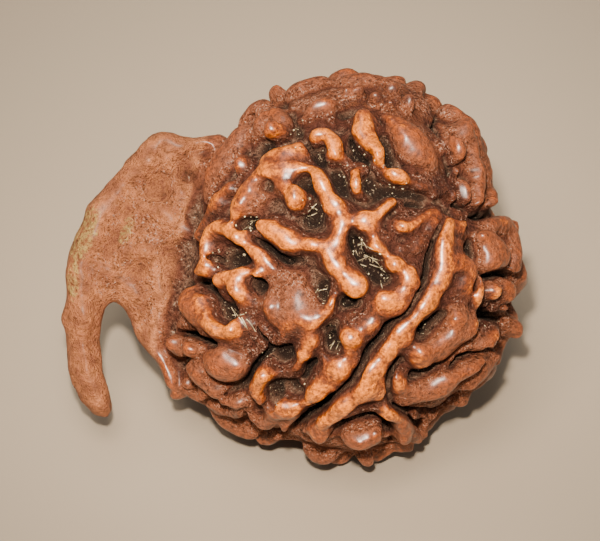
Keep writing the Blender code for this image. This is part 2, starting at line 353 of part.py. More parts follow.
def seen_at(u, v, lift):
    """The point of the raised egg that the eye sees at u, v, or the nearest one on the silhouette."""
    size = float(egg_size(u, v, 0.0, lift))
    if size < 0.998:
        return np.array([u, v, (HALF_DEPTH - RIDGE_HEIGHT + lift) * math.sqrt(1 - size * size)])
    return np.array([u, v, 0.0]) / size


def egg_normal(point):
    steps = np.eye(3) * 0.05
    slope = [egg_size(*(point + step), 0.0) - egg_size(*(point - step), 0.0) for step in steps]
    return unit(np.array(slope, dtype=float))


def smooth_string(points, spacing):
    """Points of a smooth curve through the given ones, about spacing apart."""
    known = np.array(points, dtype=float)
    if len(known) == 1:
        return np.repeat(known, 2, axis=0)
    padded = np.vstack([2 * known[0] - known[1], known, 2 * known[-1] - known[-2]])
    found = []
    for i in range(1, len(padded) - 2):
        before, start, end, later = padded[i - 1 : i + 3]
        pieces = max(1, round(float(np.linalg.norm((end - start)[:2])) / spacing))
        for t in np.arange(pieces) / pieces:
            found.append(
                0.5
                * (
                    2 * start
                    + (end - before) * t
                    + (2 * before - 5 * start + 4 * end - later) * t**2
                    + (3 * start - before - 3 * end + later) * t**3
                )
            )
    found.append(known[-1])
    return np.array(found)


def value_noise(shape, step, wave, rng):
    """A smooth random field of about -1 to 1 on the grid, with bumps about wave across."""
    field = rng.uniform(-1, 1, [int(size * step / wave) + 4 for size in shape])
    for axis, size in enumerate(shape):
        place = np.arange(size) * step / wave
        low = place.astype(int)
        part = place - low
        part = (part * part * (3 - 2 * part)).reshape([-1 if i == axis else 1 for i in range(3)])
        field = np.take(field, low, axis) * (1 - part) + np.take(field, low + 1, axis) * part
    return field.astype(np.float32)


def smooth_union(one, other, blend):
    part = np.clip(0.5 + 0.5 * (other - one) / blend, 0, 1)
    return other + (one - other) * part - blend * part * (1 - part)


class Clay:
    """A block of distances to the surface, in which shapes are laid on and pressed in."""

    def __init__(self, low, high, step):
        self.low = np.array(low)
        self.step = step
        self.shape = tuple(int(size / step) + 1 for size in np.array(high) - self.low)
        axes = [self.low[i] + step * np.arange(self.shape[i]) for i in range(3)]
        rng = np.random.default_rng(SEED)
        self.place = []
        for i in range(3):
            line = axes[i].reshape([-1 if k == i else 1 for k in range(3)])
            bend = 0.15 * value_noise(self.shape, step, 2.3, rng)
            bend += 0.12 * value_noise(self.shape, step, 1.1, rng)
            self.place.append((line + bend).astype(np.float32))
        self.far = np.full(self.shape, FAR, np.float32)

    def block(self, low, high):
        first = np.clip(((low - self.low) / self.step).astype(int), 0, self.shape)
        last = np.clip(((high - self.low) / self.step).astype(int) + 2, 0, self.shape)
        return tuple(slice(a, b) for a, b in zip(first, last))

    def near(self, points, reach):
        return self.block(points.min(axis=0) - reach, points.max(axis=0) + reach)

    def cord(self, centres, radii):
        """The block round a string of balls and the distances to it."""
        whole = self.near(centres, radii.max() + MARGIN)
        found = np.full([max(0, s.stop - s.start) for s in whole], FAR, np.float32)
        for start, end, first, last in zip(centres, centres[1:], radii, radii[1:]):
            near = self.near(np.array([start, end]), max(first, last) + MARGIN)
            along = end - start
            length = max(float(along @ along), 1e-9)
            offset = [self.place[i][near] - start[i] for i in range(3)]
            t = np.clip(sum(offset[i] * along[i] for i in range(3)) / length, 0, 1)
            gap = np.sqrt(sum((offset[i] - t * along[i]) ** 2 for i in range(3)))
            gap -= first + (last - first) * t
            inner = tuple(slice(n.start - w.start, n.stop - w.start) for n, w in zip(near, whole))
            found[inner] = np.minimum(found[inner], gap)
        return whole, found

    def strip(self, points, normals, widths, low, high, foot, flat=1.0):
        """The block round a wall or a gap that follows the surface, and the distances to it.

        It runs from low to high over the points and is foot times as wide at low as at high. Its rounding
        is flat times as wide as it is high.
        """
        whole = self.near(points, max(abs(low), high) + MARGIN)
        found = np.full([max(0, s.stop - s.start) for s in whole], FAR, np.float32)
        for i in range(len(points) - 1):
            middle = (points[i] + points[i + 1]) / 2
            along = points[i + 1] - points[i]
            half = float(np.linalg.norm(along)) / 2
            if half < 1e-6:
                continue
            along = along / (2 * half)
            up = normals[i] + normals[i + 1]
            up = unit(up - along * float(up @ along))
            across = np.cross(along, up)
            ends = np.array([points[i], points[i + 1]])
            near = self.near(np.vstack([ends + up * high, ends + up * low]), MARGIN)
            offset = [self.place[k][near] - middle[k] for k in range(3)]
            run, rise, side = (
                sum(offset[k] * axis[k] for k in range(3)) for axis in (along, up, across)
            )
            width = widths[i] + (widths[i + 1] - widths[i]) * np.clip(run / (2 * half) + 0.5, 0, 1)
            width = width * (foot + (1 - foot) * np.clip((rise - low) / (high - low), 0, 1))
            beyond = flat * np.maximum(np.abs(rise - (low + high) / 2) - (high - low) / 2, 0)
            gap = np.sqrt(np.maximum(np.abs(run) - half, 0) ** 2 + side**2 + beyond**2) - width
            inner = tuple(slice(n.start - w.start, n.stop - w.start) for n, w in zip(near, whole))
            found[inner] = np.minimum(found[inner], gap)
        return whole, found

    def lens(self, centre, axes, halves):
        """The block round an ellipsoid and the distances to it."""
        near = self.near(centre[None, :], max(halves) + MARGIN)
        offset = [self.place[k][near] - centre[k] for k in range(3)]
        size = np.zeros_like(offset[0])
        slope = np.zeros_like(offset[0])
        for axis, half in zip(axes, halves):
            part = sum(offset[k] * axis[k] for k in range(3)) / half
            size += part**2
            slope += (part / half) ** 2
        size = np.sqrt(size)
        gap = size * (size - 1) / np.maximum(np.sqrt(slope), 1e-6)
        return near, gap.astype(np.float32)

    def add(self, shape, blend):
        near, gap = shape
        self.far[near] = smooth_union(self.far[near], gap, blend)

    def cut(self, shape, blend):
        near, gap = shape
        self.far[near] = -smooth_union(-self.far[near], gap, blend)


def plate_distance(u, v, outline):
    """Distance in the u, v plane to the outline, negative inside it."""
    gap = np.full(u.shape, 1e9)
    inside = np.zeros(u.shape, bool)
    for (u1, v1), (u2, v2) in zip(outline, outline[1:] + outline[:1]):
        du, dv = u2 - u1, v2 - v1
        t = np.clip(((u - u1) * du + (v - v1) * dv) / (du * du + dv * dv), 0, 1)
        gap = np.minimum(gap, (u - u1 - t * du) ** 2 + (v - v1 - t * dv) ** 2)
        if v1 != v2:
            crosses = (v1 > v) != (v2 > v)
            inside ^= crosses & (u < (v - v1) * du / dv + u1)
    gap = np.sqrt(gap)
    return np.where(inside, -gap, gap)


def fin_half(edge_gap):
    return FIN_EDGE_HALF + FIN_SWELL * np.clip(-edge_gap, 0, 6.0)


def fin_face(u, v):
    """How far the fin's face stands from its middle at u, v."""
    edge = float(plate_distance(np.array([u]), np.array([v]), FIN_OUTLINE)[0])
    return float(fin_half(min(edge, -0.6)))


def fold_fin(clay):
    for side in (1, -1):
        for lift, points in FIN_FOLDS:
            string = smooth_string(points, 0.5)
            radii = string[:, 2]
            out = [fin_face(u, v) + lift - radius for u, v, radius in string]
            centres = np.column_stack([string[:, 0], string[:, 1], FIN_MIDDLE + side * np.array(out)])
            clay.add(clay.cord(centres, radii), 0.45)
        for u, v, wide, tall, depth, turn in FIN_DENTS:
            angle = math.radians(turn)
            along = np.array([math.cos(angle), math.sin(angle), 0.0])
            up = np.array([0.0, 0.0, 1.0])
            centre = np.array([u, v, FIN_MIDDLE + side * (fin_face(u, v) + 0.15)])
            halves = (wide, tall, depth + 0.15)
            clay.cut(clay.lens(centre, (along, np.cross(up, along), up), halves), 0.3)


def lay_fin(clay):
    u = clay.place[0][:, :, clay.shape[2] // 2].astype(float)
    v = clay.place[1][:, :, clay.shape[2] // 2].astype(float)
    edge = plate_distance(u, v, FIN_OUTLINE)[:, :, None].astype(np.float32)
    near = clay.place[2] - FIN_MIDDLE
    half = fin_half(edge)
    side = edge + FIN_ROUND
    face = np.abs(near) - half + FIN_ROUND
    gap = np.hypot(np.maximum(side, 0), np.maximum(face, 0)) + np.minimum(np.maximum(side, face), 0)
    clay.far = smooth_union(clay.far, np.minimum(gap - FIN_ROUND, FAR), 1.2)


def knobble(u, v):
    """Between -1 and 1, going up and down about every millimetre."""
    return np.sin(3.1 * u + 1.9 * v) * np.sin(2.2 * u - 3.3 * v + 1.0)


def ridge(clay, lift, points, spacing=0.35):
    """A ridge whose crest is seen along the points, as a wall with a rounded top and a wider foot."""
    string = smooth_string(points, spacing)
    waver = knobble(string[:, 0], string[:, 1])
    radii = RIDGE_WIDTH * string[:, 2] * (1 + RIDGE_KNOBBLE * waver)
    if len(points) == 1:
        crest = seen_at(points[0][0], points[0][1], lift)
        normal = egg_normal(crest)
        centres = crest - normal * radii[:, None]
        centres[0] -= normal * max(0.1, lift - radii[0])
        return clay.cord(centres, radii * np.array([1.2, 1.0]))
    crests = np.array([
        seen_at(u, v, lift + CREST_KNOBBLE * up) for (u, v, _), up in zip(string, waver)
    ])
    normals = np.array([egg_normal(crest) for crest in crests])
    centres = crests - normals * radii[:, None] / RIDGE_FLATNESS
    deep = -max(0.2, lift - float(radii.min()) / RIDGE_FLATNESS + 0.1)
    return clay.strip(centres, normals, radii, deep, 0.0, RIDGE_FOOT, RIDGE_FLATNESS)


def lay_swelling(clay, point, foot, rise):
    radius = (foot * foot + rise * rise) / (2 * rise)
    centre = point + egg_normal(point) * (rise - radius)
    near, gap = clay.cord(np.array([centre, centre]), np.array([radius, radius]))
    clay.add((near, gap), 0.5)


def lens_at(clay, u, v, lift, halves, turn, shown=0.0):
    """An ellipsoid on the raised egg, with its third half size standing up from it.

    What is seen at u, v is the ellipsoid's middle, or what stands by shown over it.
    """
    point = seen_at(u, v, lift + shown)
    normal = egg_normal(point)
    point = point - normal * shown
    angle = math.radians(turn)
    side = np.array([math.cos(angle), math.sin(angle), 0.0])
    side = unit(side - normal * float(side @ normal))
    return clay.lens(point, (side, np.cross(normal, side), normal), halves)


def press_lens(clay, pit, blend):
    u, v, wide, tall, depth, turn = pit
    clay.cut(lens_at(clay, u, v, 0.35, (wide, tall, depth + 0.35), turn), blend)


def press_cleft(clay, points, widths, depth, lean=0.0):
    """A gap down to the points of the valley floor, which leans out of the upright towards the eye."""
    normals = np.array([unit(egg_normal(p) + lean * TO_EYE) for p in points])
    clay.cut(clay.strip(points, normals, widths, -depth, RIDGE_HEIGHT + 0.8, 0.4), 0.22)


def around_the_back(start, finish, rng, wiggle):
    """Directions of a cleft over the back, from one direction to another."""
    turn = math.acos(max(-1.0, min(1.0, float(start @ finish))))
    side = unit(np.cross(start, finish))
    found = []
    phase = rng.uniform(0, 6.28)
    for t in np.linspace(0, 1, 26):
        way = (math.sin((1 - t) * turn) * start + math.sin(t * turn) * finish) / math.sin(turn)
        sway = wiggle * math.sin(math.pi * t) * math.sin(9 * t + phase)
        found.append(unit(way + side * sway))
    return found


def maze(u, v, w):
    """Between about -1 and 1 in a maze of meandering bands that are all about as wide."""
    rng = random.Random(SEED)
    found = np.zeros(u.shape, np.float32)
    for _ in range(MAZE_WAVES):
        up = rng.uniform(-1, 1)
        angle = rng.uniform(0, 2 * math.pi)
        ring = math.sqrt(1 - up * up)
        pitch = 2 * math.pi / (MAZE_PITCH * rng.uniform(0.85, 1.18))
        way = np.array([ring * math.cos(angle), ring * math.sin(angle), up]) * pitch
        shift = rng.uniform(0, 2 * math.pi)
        found += np.cos(u * way[0] + v * way[1] + w * way[2] + shift)
    return found * math.sqrt(2 / MAZE_WAVES)


def model_back(clay):
    """Meandering ridges and the clefts' other halves, on the sides that the eye doesn't see."""
    rng = random.Random(SEED)
    last = int((0.6 - clay.low[2]) / clay.step)
    near = (slice(None), slice(None), slice(0, last))
    u, v, w = (clay.place[i][near] for i in range(3))
    size = np.maximum(egg_size(u, v, w, 0.0), 0.1).astype(np.float32)
    bands = maze(u / size, v / size, w / size)
    ridges = np.clip((bands + 0.25) / 0.9, 0, 1)
    ridges = ridges * ridges * (3 - 2 * ridges) + 0.22 * np.clip(bands - 0.65, 0, 1)
    hidden = np.clip((0.1 - w) / 1.1, 0, 1)
    gap = np.sqrt(u * u + v * v + w * w) * (1 - 1 / size) - MAZE_HEIGHT * ridges * hidden
    gap = np.where(size < 0.7, FAR, gap).astype(np.float32)
    clay.far[near] = smooth_union(clay.far[near], gap, 0.2)
    mouth = unit(seen_at(*MOUTH, 0.0))
    for u, v in CLEFT_ENDS:
        start = unit(np.array([u, v, -0.2]))
        line = around_the_back(start, -mouth, rng, 0.09)
        points = np.array([on_egg(way, 0.0) for way in line])[: rng.choice([21, 23, 24])]
        press_cleft(clay, points, np.linspace(0.4, 0.24, len(points)), 1.0)


def modelled():
    clay = Clay((-18.6, -13.6, -11.4), (12.0, 13.6, 11.4), CLAY_STEP)
    u, v, w = clay.place
    size = egg_size(u, v, w, 0.0)
    clay.far = np.clip(np.sqrt(u * u + v * v + w * w) * (1 - 1 / np.maximum(size, 0.05)), -FAR, FAR)
    clay.far = clay.far.astype(np.float32)
    for spot_u, spot_v, foot, rise in SWELLINGS:
        lay_swelling(clay, seen_at(spot_u, spot_v, 0.0), foot, rise)
    lay_fin(clay)
    fold_fin(clay)
    for spot_u, spot_v, long, wide, height, turn in LUMPS:
        halves = (long, wide, height - 0.1)
        clay.add(lens_at(clay, spot_u, spot_v, 0.1, halves, turn, LUMP_SHOWN * height), 0.22)
    for lift, points in RIDGES:
        clay.add(ridge(clay, lift, points), RIDGE_BLEND)
    for hollow in HOLLOWS:
        press_lens(clay, hollow, 0.7)
    model_back(clay)
    for depth, points in CLEFTS:
        string = smooth_string(points, 0.3)
        floor = np.array([seen_at(a, b, 0.0) for a, b, _ in string])
        press_cleft(clay, floor, string[:, 2], depth, CLEFT_LEAN)
    for pit in PITS:
        press_lens(clay, pit, 0.15)
    for lift, spot_u, spot_v, radius in KNOBS:
        clay.add(ridge(clay, lift, [(spot_u, spot_v, radius)]), 0.25)
    return clay


def soften(clay, times):
    """Rounds off what is thinner than the clay can hold."""
    for _ in range(times):
        for axis in range(3):
            far = clay.far
            near = np.moveaxis(far, axis, 0)
            soft = near.copy()
            soft[1:-1] = 0.5 * near[1:-1] + 0.25 * (near[:-2] + near[2:])
            clay.far = np.ascontiguousarray(np.moveaxis(soft, 0, axis))


def cut_foot(clay):
    """Swells the underside below the stone's middle of weight, slices it flat and gives its height."""
    up = np.array([0.0, math.cos(FACE_TILT), math.sin(FACE_TILT)])
    inside = clay.far < 0
    height = clay.place[1] * up[1] + clay.place[2] * up[2]
    lowest = float(height[inside].min())
    weight = np.array([float(clay.place[i][inside].mean()) for i in range(3)])
    middle = weight + up * (lowest - 0.15 + FOOT_BALL - float(weight @ up))
    clay.add(clay.cord(np.array([middle, middle]), np.array([FOOT_BALL, FOOT_BALL])), 0.5)
    level = lowest - 0.15 + FOOT_CUT
    straight = [clay.low[i] + clay.step * np.arange(clay.shape[i]) for i in (1, 2)]
    height = straight[0][:, None] * up[1] + straight[1][None, :] * up[2]
    clay.far = np.maximum(clay.far, (level - height)[None, :, :].astype(np.float32))
    return level


def surface_of(clay):
    grid = openvdb.FloatGrid()
    grid.background = FAR
    grid.copyFromArray(clay.far)
    points, _, quads = grid.convertToPolygons(isovalue=0.0, adaptivity=0.0)
    return points.astype(float) * clay.step + clay.low, quads


def largest_piece(count, quads):
    """Only the faces that hang together with the most others: no crumbs and no closed bubbles."""
    label = np.arange(count)
    while True:
        lowest = label[quads].min(axis=1)
        fresh = label.copy()
        for corner in range(4):
            np.minimum.at(fresh, quads[:, corner], lowest)
        fresh = fresh[fresh]
        if (fresh == label).all():
            break
        label = fresh
    names, counts = np.unique(label[quads[:, 0]], return_counts=True)
    return quads[label[quads[:, 0]] == names[counts.argmax()]]


def mesh_object(name, points, faces):
    used, index = np.unique(faces, return_inverse=True)
    mesh = bpy.data.meshes.new(name)
    mesh.from_pydata(points[used].tolist(), [], index.reshape(faces.shape).tolist())
    mesh.update()
    made = bpy.data.objects.new(name, mesh)
    bpy.context.scene.collection.objects.link(made)
    return made


def evaluated_copy(source, name):
    bpy.context.view_layer.update()
    graph = bpy.context.evaluated_depsgraph_get()
    mesh = bpy.data.meshes.new_from_object(source.evaluated_get(graph))
    mesh.name = name
    bpy.data.objects.remove(source)
    made = bpy.data.objects.new(name, mesh)
    bpy.context.scene.collection.objects.link(made)
    return made


def dried_stone():
    material = bpy.data.materials.new("rudraksha_stone")
    material.use_nodes = True
    shader = material.node_tree.nodes["Principled BSDF"]
    shader.inputs["Base Color"].default_value = BARK_TONE
    shader.inputs["Roughness"].default_value = 0.55
    material.diffuse_color = BARK_TONE
    return material


def main():
    for old in list(bpy.data.objects):
        bpy.data.objects.remove(old)
    clay = modelled()
    soften(clay, SOFTENING)
    level = cut_foot(clay)
    points, quads = surface_of(clay)
    quads = largest_piece(len(points), quads)
    turn = np.array([
        [1.0, 0.0, 0.0],
        [0.0, math.sin(FACE_TILT), -math.cos(FACE_TILT)],
        [0.0, math.cos(FACE_TILT), math.sin(FACE_TILT)],
    ])
    points = points @ turn.T
    stone = mesh_object("clay", points, quads)
    thin = stone.modifiers.new("thin", "DECIMATE")
    thin.ratio = TRIANGLES / (2 * len(quads))
    stone = evaluated_copy(stone, "rudraksha_bead")
    corners = np.array([vertex.co for vertex in stone.data.vertices])
    corners[:, 2] = np.maximum(corners[:, 2], level + 0.04)
    middle = (corners.min(axis=0) + corners.max(axis=0)) / 2
    middle[2] = corners[:, 2].min()
    for vertex, corner in zip(stone.data.vertices, corners):
        vertex.co = (corner - middle) * MM
    stone.data.materials.clear()
    stone.data.materials.append(dried_stone())
    for face in stone.data.polygons:
        face.use_smooth = False


main()
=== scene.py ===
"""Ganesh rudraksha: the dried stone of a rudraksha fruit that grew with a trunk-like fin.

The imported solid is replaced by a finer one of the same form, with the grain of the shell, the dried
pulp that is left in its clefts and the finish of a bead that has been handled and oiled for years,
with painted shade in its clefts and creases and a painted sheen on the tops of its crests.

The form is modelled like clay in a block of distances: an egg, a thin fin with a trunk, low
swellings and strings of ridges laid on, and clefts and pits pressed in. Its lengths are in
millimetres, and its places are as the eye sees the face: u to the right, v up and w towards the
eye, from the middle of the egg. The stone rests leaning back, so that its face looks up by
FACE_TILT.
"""

from __future__ import annotations

import itertools
import json
import logging
import math
import random
from collections.abc import Iterable, Sequence
from dataclasses import dataclass
from enum import Enum

import bmesh
import bpy
import numpy as np
import openvdb
from mathutils import Euler, Matrix, Vector

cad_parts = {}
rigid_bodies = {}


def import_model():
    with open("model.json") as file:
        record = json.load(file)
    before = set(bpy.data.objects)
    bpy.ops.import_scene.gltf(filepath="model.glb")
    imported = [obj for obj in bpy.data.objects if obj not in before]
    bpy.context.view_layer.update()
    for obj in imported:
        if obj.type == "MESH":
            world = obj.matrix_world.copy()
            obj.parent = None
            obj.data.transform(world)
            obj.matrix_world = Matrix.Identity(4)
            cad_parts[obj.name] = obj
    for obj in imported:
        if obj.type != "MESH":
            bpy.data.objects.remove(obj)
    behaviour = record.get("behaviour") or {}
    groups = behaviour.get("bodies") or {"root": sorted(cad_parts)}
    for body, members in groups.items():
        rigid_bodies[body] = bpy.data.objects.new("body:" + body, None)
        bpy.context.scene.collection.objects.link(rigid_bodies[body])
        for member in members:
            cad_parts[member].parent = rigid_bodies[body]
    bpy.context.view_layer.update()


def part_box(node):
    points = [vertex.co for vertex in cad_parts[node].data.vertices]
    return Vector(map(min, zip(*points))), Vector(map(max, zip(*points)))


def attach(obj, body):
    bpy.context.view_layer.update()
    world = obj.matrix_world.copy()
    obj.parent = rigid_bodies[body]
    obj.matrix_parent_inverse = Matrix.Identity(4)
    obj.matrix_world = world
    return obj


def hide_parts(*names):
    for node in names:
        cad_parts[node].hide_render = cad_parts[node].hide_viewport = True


LOG = logging.getLogger("rudraksha")

NODE = "rudraksha_bead"
BODY = "root"

MM = 0.001
FACE_TILT = math.radians(38)
TO_EYE = np.array([0.0, 0.0, 1.0])

# Distances further than this from the surface aren't kept.
FAR = 3.0

# How far round a shape its distances are worked out, for its fillet.
MARGIN = 1.0

# How far the foot is pressed into the floor, so that its flat spot comes out quite flat.
PRESSED = 0.04

Point = tuple[float, float, float]
Lens = tuple[float, float, float, float, float, float]
String = list[Point]

# The silhouette of the egg with its ridges, as radii from its middle every 15 degrees, from the
# right round by the top.
SILHOUETTE = (
    10.5, 10.4, 9.9, 11.0, 11.7, 12.1,
    11.9, 11.9, 11.7, 11.2, 10.7, 10.3,
    10.4, 11.3, 12.0, 12.0, 11.7, 11.6,
    11.8, 11.4, 10.9, 10.7, 10.8, 10.6,
)

# What is seen at a lump's u, v stands this share of its height over the valleys.
LUMP_SHOWN = 0.55

# How far the clefts' walls turn from upright towards the eye.
CLEFT_LEAN = 0.9

# The fin and the trunk as one thin plate, its outline seen from the front.
FIN_OUTLINE = [
    (-7.8, 8.3), (-8.7, 7.9), (-9.5, 7.8), (-10.1, 7.85), (-10.8, 8.1), (-11.4, 8.15), (-12.1, 7.8),
    (-12.7, 7.2), (-13.2, 6.45), (-14.0, 5.7), (-15.0, 4.7), (-15.9, 3.6), (-16.5, 2.4),
    (-16.8, 1.0), (-17.0, -0.5), (-17.2, -2.0), (-17.3, -3.0), (-17.15, -3.9), (-17.05, -5.0),
    (-16.9, -6.0), (-16.6, -7.0), (-16.0, -8.0), (-15.2, -8.7), (-14.5, -8.95), (-14.2, -8.4),
    (-14.4, -7.3), (-14.7, -6.3), (-14.8, -5.0), (-15.0, -4.0), (-14.85, -2.9), (-14.7, -2.1),
    (-14.2, -1.85), (-13.7, -2.1), (-13.4, -2.6), (-13.1, -3.2), (-12.7, -4.2), (-12.1, -5.0),
    (-11.6, -5.7), (-11.1, -6.3), (-10.95, -7.0), (-10.8, -7.75), (-10.4, -7.8), (-9.0, -7.2),
    (-6.5, -4.0), (-6.0, 3.0), (-6.5, 7.0),
]

# Folds on both faces of the fin: height over the face, then u, v, radius.
FIN_FOLDS = [
    (0.4, [(-8.7, 7.3, 0.6), (-10.0, 7.3, 0.65), (-11.3, 7.45, 0.7), (-12.3, 6.6, 0.75),
        (-13.3, 5.6, 0.7), (-14.4, 4.3, 0.7), (-15.3, 2.9, 0.7), (-15.9, 1.2, 0.75),
        (-16.1, -0.5, 0.8), (-16.1, -2.5, 0.8), (-16.0, -4.5, 0.75), (-15.6, -6.5, 0.7),
        (-15.0, -7.9, 0.6)]),
    (0.3, [(-13.3, 4.3, 0.4), (-12.3, 4.0, 0.5), (-10.8, 3.2, 0.5), (-9.7, 2.6, 0.5)]),
    (0.35, [(-12.4, 1.2, 0.4), (-11.7, -0.2, 0.5), (-11.4, -1.5, 0.5), (-11.6, -3.0, 0.5),
        (-11.7, -4.3, 0.45), (-11.1, -5.8, 0.4), (-10.7, -7.0, 0.4)]),
    (0.25, [(-14.8, 0.8, 0.4), (-14.3, -0.4, 0.45), (-13.4, -0.8, 0.45), (-12.6, -1.6, 0.45)]),
    (0.25, [(-11.9, 6.4, 0.4), (-11.0, 5.6, 0.45), (-10.4, 4.6, 0.45)]),
]

# Shallow dents in the fin: u, v, half width, half height, how deep, turned by degrees.
FIN_DENTS = [
    (-11.6, 5.2, 1.3, 0.8, 0.3, 50), (-13.9, 2.4, 0.6, 2.4, 0.3, -22),
    (-12.6, 2.2, 1.2, 0.7, 0.2, -20), (-10.6, 1.2, 0.9, 0.8, 0.25, 0),
    (-9.9, 5.9, 0.9, 0.8, 0.5, 20), (-12.8, 0.2, 0.8, 0.6, 0.2, 0), (-15.2, -3.8, 0.4, 1.8, 0.2, 0),
    (-9.0, 7.0, 0.8, 0.4, 0.25, 10),
]

# Low swellings: u, v, radius of the foot, rise.
SWELLINGS = [
    (-5.4, 4.4, 1.5, 0.9), (-2.9, 2.3, 1.2, 0.5), (0.9, -3.2, 1.5, 0.9), (-0.3, -5.2, 1.3, 0.7),
    (-1.6, -6.6, 1.2, 0.7), (-6.4, -4.3, 1.4, 0.7), (3.0, 2.4, 1.7, 0.7), (6.3, -1.2, 1.6, 1.05),
    (3.9, -2.6, 1.1, 0.5), (1.7, -6.2, 1.6, 1.0), (5.2, -7.0, 1.9, 0.7), (7.6, -5.5, 1.8, 0.7),
    (4.3, 5.3, 1.6, 0.5), (3.2, 10.5, 1.8, 0.6), (-1.2, 9.9, 1.9, 0.6), (-9.6, -3.6, 1.6, 0.6),
    (-8.7, -7.3, 1.5, 0.6), (3.2, -9.8, 1.2, 0.5), (5.6, -8.8, 1.6, 0.3), (-5.2, -7.2, 1.1, 0.6),
    (9.6, 1.4, 1.6, 0.6),
]

# Rounded lumps: u, v, half length, half width, height over the valleys, turned by degrees.
LUMPS = [
    (-3.9, 6.75, 1.7, 0.85, 1.6, 5), (-4.5, 8.25, 0.8, 0.8, 1.75, 0),
    (-6.6, 6.4, 0.95, 0.6, 1.3, 95), (-7.8, 6.5, 2.7, 0.95, 1.15, 48),
    (-6.1, 9.65, 1.5, 0.9, 1.1, 25), (-2.5, 11.2, 1.7, 0.9, 1.05, 5),
    (3.4, 7.95, 2.4, 1.35, 1.7, -42), (6.35, 7.3, 1.3, 0.55, 1.5, 96),
    (8.2, 6.4, 3.1, 1.35, 1.25, 112), (6.7, 9.9, 0.95, 0.9, 1.2, 120),
    (4.1, 10.95, 0.9, 0.8, 1.1, 0), (1.0, 11.4, 2.2, 0.8, 1.0, 0), (0.9, 8.3, 1.2, 0.62, 1.6, -62),
    (-9.65, -2.05, 1.5, 1.05, 1.9, -25), (-10.6, -4.2, 1.05, 0.85, 1.55, 85),
    (-9.55, -4.6, 0.75, 0.75, 1.55, 0), (-7.7, -5.75, 1.75, 1.35, 1.9, 20),
    (-10.6, -7.3, 0.6, 0.55, 1.2, 70), (-6.9, -7.95, 1.05, 0.6, 1.3, -28),
    (-3.5, -2.2, 1.75, 1.5, 1.0, -20), (-3.9, -0.8, 1.3, 0.9, 0.5, 10),
    (0.15, -0.9, 1.1, 0.8, 1.78, -45), (2.2, -1.95, 1.35, 0.72, 1.6, 12),
    (1.2, -3.1, 0.8, 0.6, 1.3, 30), (0.1, -4.2, 0.85, 0.8, 1.65, 0),
    (-0.75, -5.8, 1.05, 0.75, 1.5, 52), (-1.9, -7.25, 1.2, 0.8, 1.6, 48),
    (-4.05, -8.4, 1.55, 0.98, 1.6, 42), (6.4, -2.9, 1.0, 0.85, 1.65, -15),
    (5.7, -4.55, 1.9, 0.95, 1.3, 22), (4.4, -5.35, 0.9, 0.7, 1.6, 15),
    (2.8, 5.55, 1.3, 0.72, 1.65, -22), (0.4, 5.15, 1.2, 0.58, 1.6, 98),
    (8.6, 0.95, 1.3, 1.2, 1.5, 60), (8.75, -1.25, 0.75, 0.72, 1.5, 0),
    (7.45, -1.15, 1.05, 0.75, 1.5, -75), (8.6, -3.7, 0.95, 0.42, 1.3, -4),
    (0.7, -10.15, 1.25, 0.95, 1.5, 5), (1.05, -11.35, 0.5, 0.7, 1.2, 0),
    (-1.8, -11.2, 1.2, 0.7, 1.05, 0), (1.0, -6.95, 1.05, 0.9, 1.65, 60),
    (5.1, -6.95, 2.6, 1.0, 1.4, 14), (3.1, -6.9, 1.0, 0.7, 1.25, -50),
    (3.35, 2.55, 0.8, 0.5, 1.3, 8), (-8.0, -8.5, 0.9, 0.5, 1.0, -20),
    (0.6, 10.9, 0.55, 0.3, 1.35, 25), (1.5, 10.4, 0.6, 0.32, 1.3, -20),
    (2.5, 10.9, 0.7, 0.35, 1.35, 10), (3.4, 10.3, 0.6, 0.4, 1.3, -35),
    (2.4, 9.95, 0.5, 0.28, 1.15, 0), (-0.2, 10.7, 0.4, 0.25, 1.2, 60),
    (-1.75, 9.85, 1.4, 0.55, 1.35, 22),
]

# Shallow floors between the ridges: u, v, half width, half height, how deep, turned by degrees.
HOLLOWS = [
    (-2.6, 5.0, 0.75, 0.5, 0.9, 20), (-2.5, 3.4, 0.9, 1.1, 0.7, 20), (-4.7, 4.9, 0.3, 0.3, 0.6, 0),
    (-6.0, 2.7, 0.62, 0.5, 1.4, 15), (-7.0, 0.7, 1.3, 0.6, 0.9, 0), (-5.6, -0.9, 0.35, 0.5, 0.9, 0),
    (0.7, 1.2, 0.55, 1.5, 1.3, 38), (1.6, -0.1, 0.5, 0.9, 1.0, 40), (-1.6, -1.3, 0.4, 0.8, 0.8, 10),
    (0.0, -2.1, 0.6, 0.35, 1.2, 10), (-0.9, -4.2, 0.5, 0.8, 0.9, 0), (-4.2, -5.2, 0.9, 0.6, 0.9, 0),
    (-7.3, -2.6, 0.9, 0.5, 1.3, -30), (-4.4, -7.5, 0.45, 0.9, 0.7, 15),
    (-3.2, -7.2, 0.7, 0.4, 0.6, 20), (0.45, 6.8, 0.7, 0.25, 0.6, -25),
    (2.2, 7.0, 0.4, 1.4, 0.7, 20), (-1.85, 7.0, 0.5, 0.45, 0.9, 0),
    (-0.65, 5.4, 0.35, 1.0, 0.8, 12), (1.3, 5.4, 0.35, 0.7, 0.6, 0), (2.2, 4.9, 1.6, 0.35, 0.6, -5),
    (4.5, -6.1, 1.3, 0.3, 0.8, 8), (4.6, -3.2, 0.9, 0.45, 1.0, 32), (7.2, 1.2, 0.4, 0.8, 1.0, 0),
    (8.3, -2.8, 0.6, 0.4, 1.2, 0), (0.6, -9.0, 1.5, 0.55, 1.4, 0), (2.4, -9.6, 0.3, 1.0, 0.9, 12),
    (-5.5, 7.3, 0.5, 0.8, 0.6, 20), (-0.3, 9.5, 0.5, 0.25, 0.4, 20),
    (-10.3, -5.8, 0.6, 0.4, 0.8, 0), (5.3, -8.6, 1.3, 0.6, 0.6, 15), (6.4, 5.8, 0.3, 0.4, 0.7, 0),
    (5.4, 8.9, 0.35, 0.35, 0.8, 0),
]

